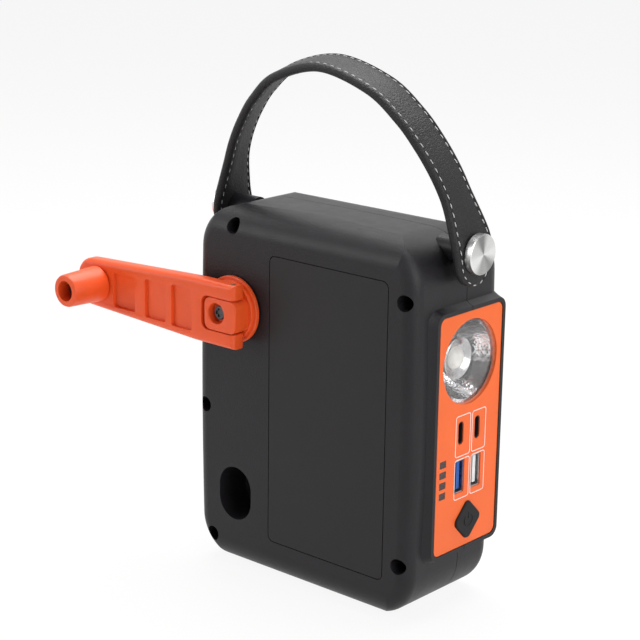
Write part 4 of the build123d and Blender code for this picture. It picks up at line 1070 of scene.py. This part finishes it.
@dataclass
class TorchOptic:
    """Optic in the reflector: a bright collar with a dished face round a domed lamp, sizes in mm."""

    palette: Palette
    axis_z: float = 101.8
    floor_x: float = 44.9
    collar: tuple[tuple[float, float], ...] = ((0.0, 0.0), (0.0, 5.6), (4.0, 6.6), (7.4, 8.3), (8.0, 8.5),
                                               (8.4, 8.1), (7.9, 6.9), (6.9, 5.7), (6.4, 5.0), (6.3, 0.0))
    dome: tuple[tuple[float, float], ...] = ((6.0, 0.0), (6.0, 4.6), (7.0, 4.5), (8.0, 3.9), (8.8, 2.8),
                                             (9.2, 1.4), (9.3, 0.0))

    def _turn(self, name: str, path: tuple[tuple[float, float], ...], finish: str) -> bpy.types.Object:
        """Spin a profile about the torch's axis.

        Args:
            name: the piece's name.
            path: its points as (distance along the axis, radius).
            finish: its material.

        Returns:
            The turned piece.
        """
        mesh = bmesh.new()
        verts = [mesh.verts.new((self.floor_x + x, radius, self.axis_z)) for x, radius in path]
        edges = [mesh.edges.new(pair) for pair in zip(verts, verts[1:])]
        bmesh.ops.spin(mesh, geom=verts + edges, cent=(0, 0, self.axis_z), axis=(1, 0, 0), angle=2 * pi,
                       steps=48, use_merge=True)
        bmesh.ops.remove_doubles(mesh, verts=mesh.verts, dist=1e-4)
        piece = settle(name, mesh, self.palette[finish], "case")
        shade(piece)
        return piece

    def build(self) -> None:
        """Make the collar and the dome in place of the plain lamp."""
        self._turn("torch_collar", self.collar, "optic_grey")
        dome = self._turn("torch_dome", self.dome, "led_dome")
        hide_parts("torch_led")


@dataclass
class Studio:
    """Pale floor, backdrop, soft lamps and the photograph's camera, sizes in metres."""

    camera_place: Triple = (0.45907, -0.54613, 0.30794)
    right: Triple = (0.7508, 0.6604, 0.01327)
    up: Triple = (-0.1891, 0.19565, 0.96227)
    back: Triple = (0.63289, -0.72498, 0.27178)
    lens: float = 103.86
    floor_size: float = 6.0
    floor_white: float = 0.9
    world_strength: float = 0.2
    aim: Triple = (0.0, 0.0, 0.1)
    lamps: tuple[tuple[str, Triple, tuple[float, float], float], ...] = (
        ("overhead", (-0.1, 0.25, 0.95), (0.9, 0.6), 13.0),
        ("panel_side", (1.0, -0.15, 0.45), (0.7, 0.9), 6.0),
        ("crank_side", (-0.75, -0.85, 0.55), (0.7, 0.7), 4.6))

    def camera(self) -> None:
        """Stand the camera where the photograph was taken from."""
        data = bpy.data.cameras.new("camera")
        data.lens, data.sensor_width = self.lens, 36.0
        data.clip_start = 0.01
        eye = bpy.data.objects.new("camera", data)
        axes = Matrix((self.right, self.up, self.back)).transposed().to_4x4()
        eye.matrix_world = Matrix.Translation(self.camera_place) @ axes
        bpy.context.scene.collection.objects.link(eye)
        bpy.context.scene.camera = eye

    def floor(self) -> None:
        """Lay the floor that keeps the object's shadow under a white camera glow."""
        shader = Shader("floor_white")
        paint = shader.node("ShaderNodeBsdfDiffuse", {}, {"Color": (0.92, 0.92, 0.92)})
        glow = shader.node("ShaderNodeEmission", {}, {"Color": (1.0, 1.0, 1.0), "Strength": 1.0})
        seen = self._seen(shader)
        shader.end(shader.node("ShaderNodeMixShader", {}, {0: seen * self.floor_white, 1: paint, 2: glow}))
        mesh = bmesh.new()
        bmesh.ops.create_grid(mesh, x_segments=8, y_segments=8, size=self.floor_size / 2)
        far = [e for e in mesh.edges if all(v.co.y > self.floor_size / 2 - 0.01 for v in e.verts)]
        made = bmesh.ops.extrude_edge_only(mesh, edges=far)["geom"]
        bmesh.ops.translate(mesh, vec=(0, 0.4, self.floor_size / 2), verts=fresh_verts(made))
        data = bpy.data.meshes.new("floor")
        mesh.to_mesh(data)
        mesh.free()
        data.materials.append(shader.material)
        floor = bpy.data.objects.new("floor", data)
        bpy.context.scene.collection.objects.link(floor)

    def _seen(self, shader: Shader) -> Sock:
        """One where a camera, glossy or transmission ray looks, zero elsewhere.

        Args:
            shader: the tree that asks.

        Returns:
            The factor.
        """
        path = shader.node("ShaderNodeLightPath", {}, {}, "Is Camera Ray")
        outputs = path.socket.node.outputs
        seen = path + Sock(shader, outputs["Is Glossy Ray"])
        return shader.node("ShaderNodeMath", {"operation": "ADD", "use_clamp": True},
                           {0: seen, 1: Sock(shader, outputs["Is Transmission Ray"])})

    def lamp(self, name: str, place: Triple, size: tuple[float, float], power: float) -> None:
        """Hang one soft box.

        Args:
            name: the lamp's name.
            place: where it hangs.
            size: its width and height.
            power: its power in watts.
        """
        data = bpy.data.lights.new(name, "AREA")
        data.shape, data.size, data.size_y, data.energy = "RECTANGLE", size[0], size[1], power
        lamp = bpy.data.objects.new(name, data)
        lamp.location = place
        lamp.rotation_euler = (Vector(self.aim) - Vector(place)).to_track_quat("-Z", "Y").to_euler()
        bpy.context.scene.collection.objects.link(lamp)

    def world(self) -> None:
        """Surround the stage with soft white that the camera sees as white."""
        world = bpy.data.worlds.new("studio")
        bpy.context.scene.world = world
        world.use_nodes = True
        shader = Shader("studio", world.node_tree)
        path = self._seen(shader)
        dim = shader.node("ShaderNodeBackground", {},
                          {"Color": (1.0, 1.0, 1.0), "Strength": self.world_strength})
        white = shader.node("ShaderNodeBackground", {}, {"Color": (1.0, 1.0, 1.0), "Strength": 1.0})
        mixed = shader.node("ShaderNodeMixShader", {}, {0: path, 1: dim, 2: white})
        shader.end(mixed, "ShaderNodeOutputWorld")

    def build(self) -> None:
        """Set up the whole studio."""
        bpy.context.scene.view_settings.view_transform = "Standard"
        self.world()
        self.floor()
        self.camera()
        for lamp in self.lamps:
            self.lamp(*lamp)


def main() -> None:
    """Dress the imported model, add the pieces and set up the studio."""
    logging.basicConfig(level=logging.INFO, format="%(name)s %(message)s")
    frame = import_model()
    strap_y, strap_z = CarryStrap.pivot_y * MM, CarryStrap.pivot_z * MM
    palette = Palette(strap_y, strap_z)
    # The USB-C sockets take the black component finish in place of steel: painted shade inside the ports.
    palette.dress_nodes(frame, {"face_inlay": "label_film", "usb_c_socket_near": "component_black",
                                "usb_c_socket_far": "component_black"})
    crank = Crank(palette)
    crank.hub()
    crank.hinge_pin()
    crank.arm()
    crank.knob()
    strap = CarryStrap(palette)
    strap.leather()
    strap.stitches()
    CrossScrew(palette, "hub_cross_screw", "hub_screw", "crank", 1.8, 1.45).build()
    CrossScrew(palette, "knob_cross_screw", "knob_axle", "arm", 2.0, 2.0).build()
    PanelPrint(palette).build()
    TorchOptic(palette).build()
    Studio().build()


if __name__ == "__main__":
    main()
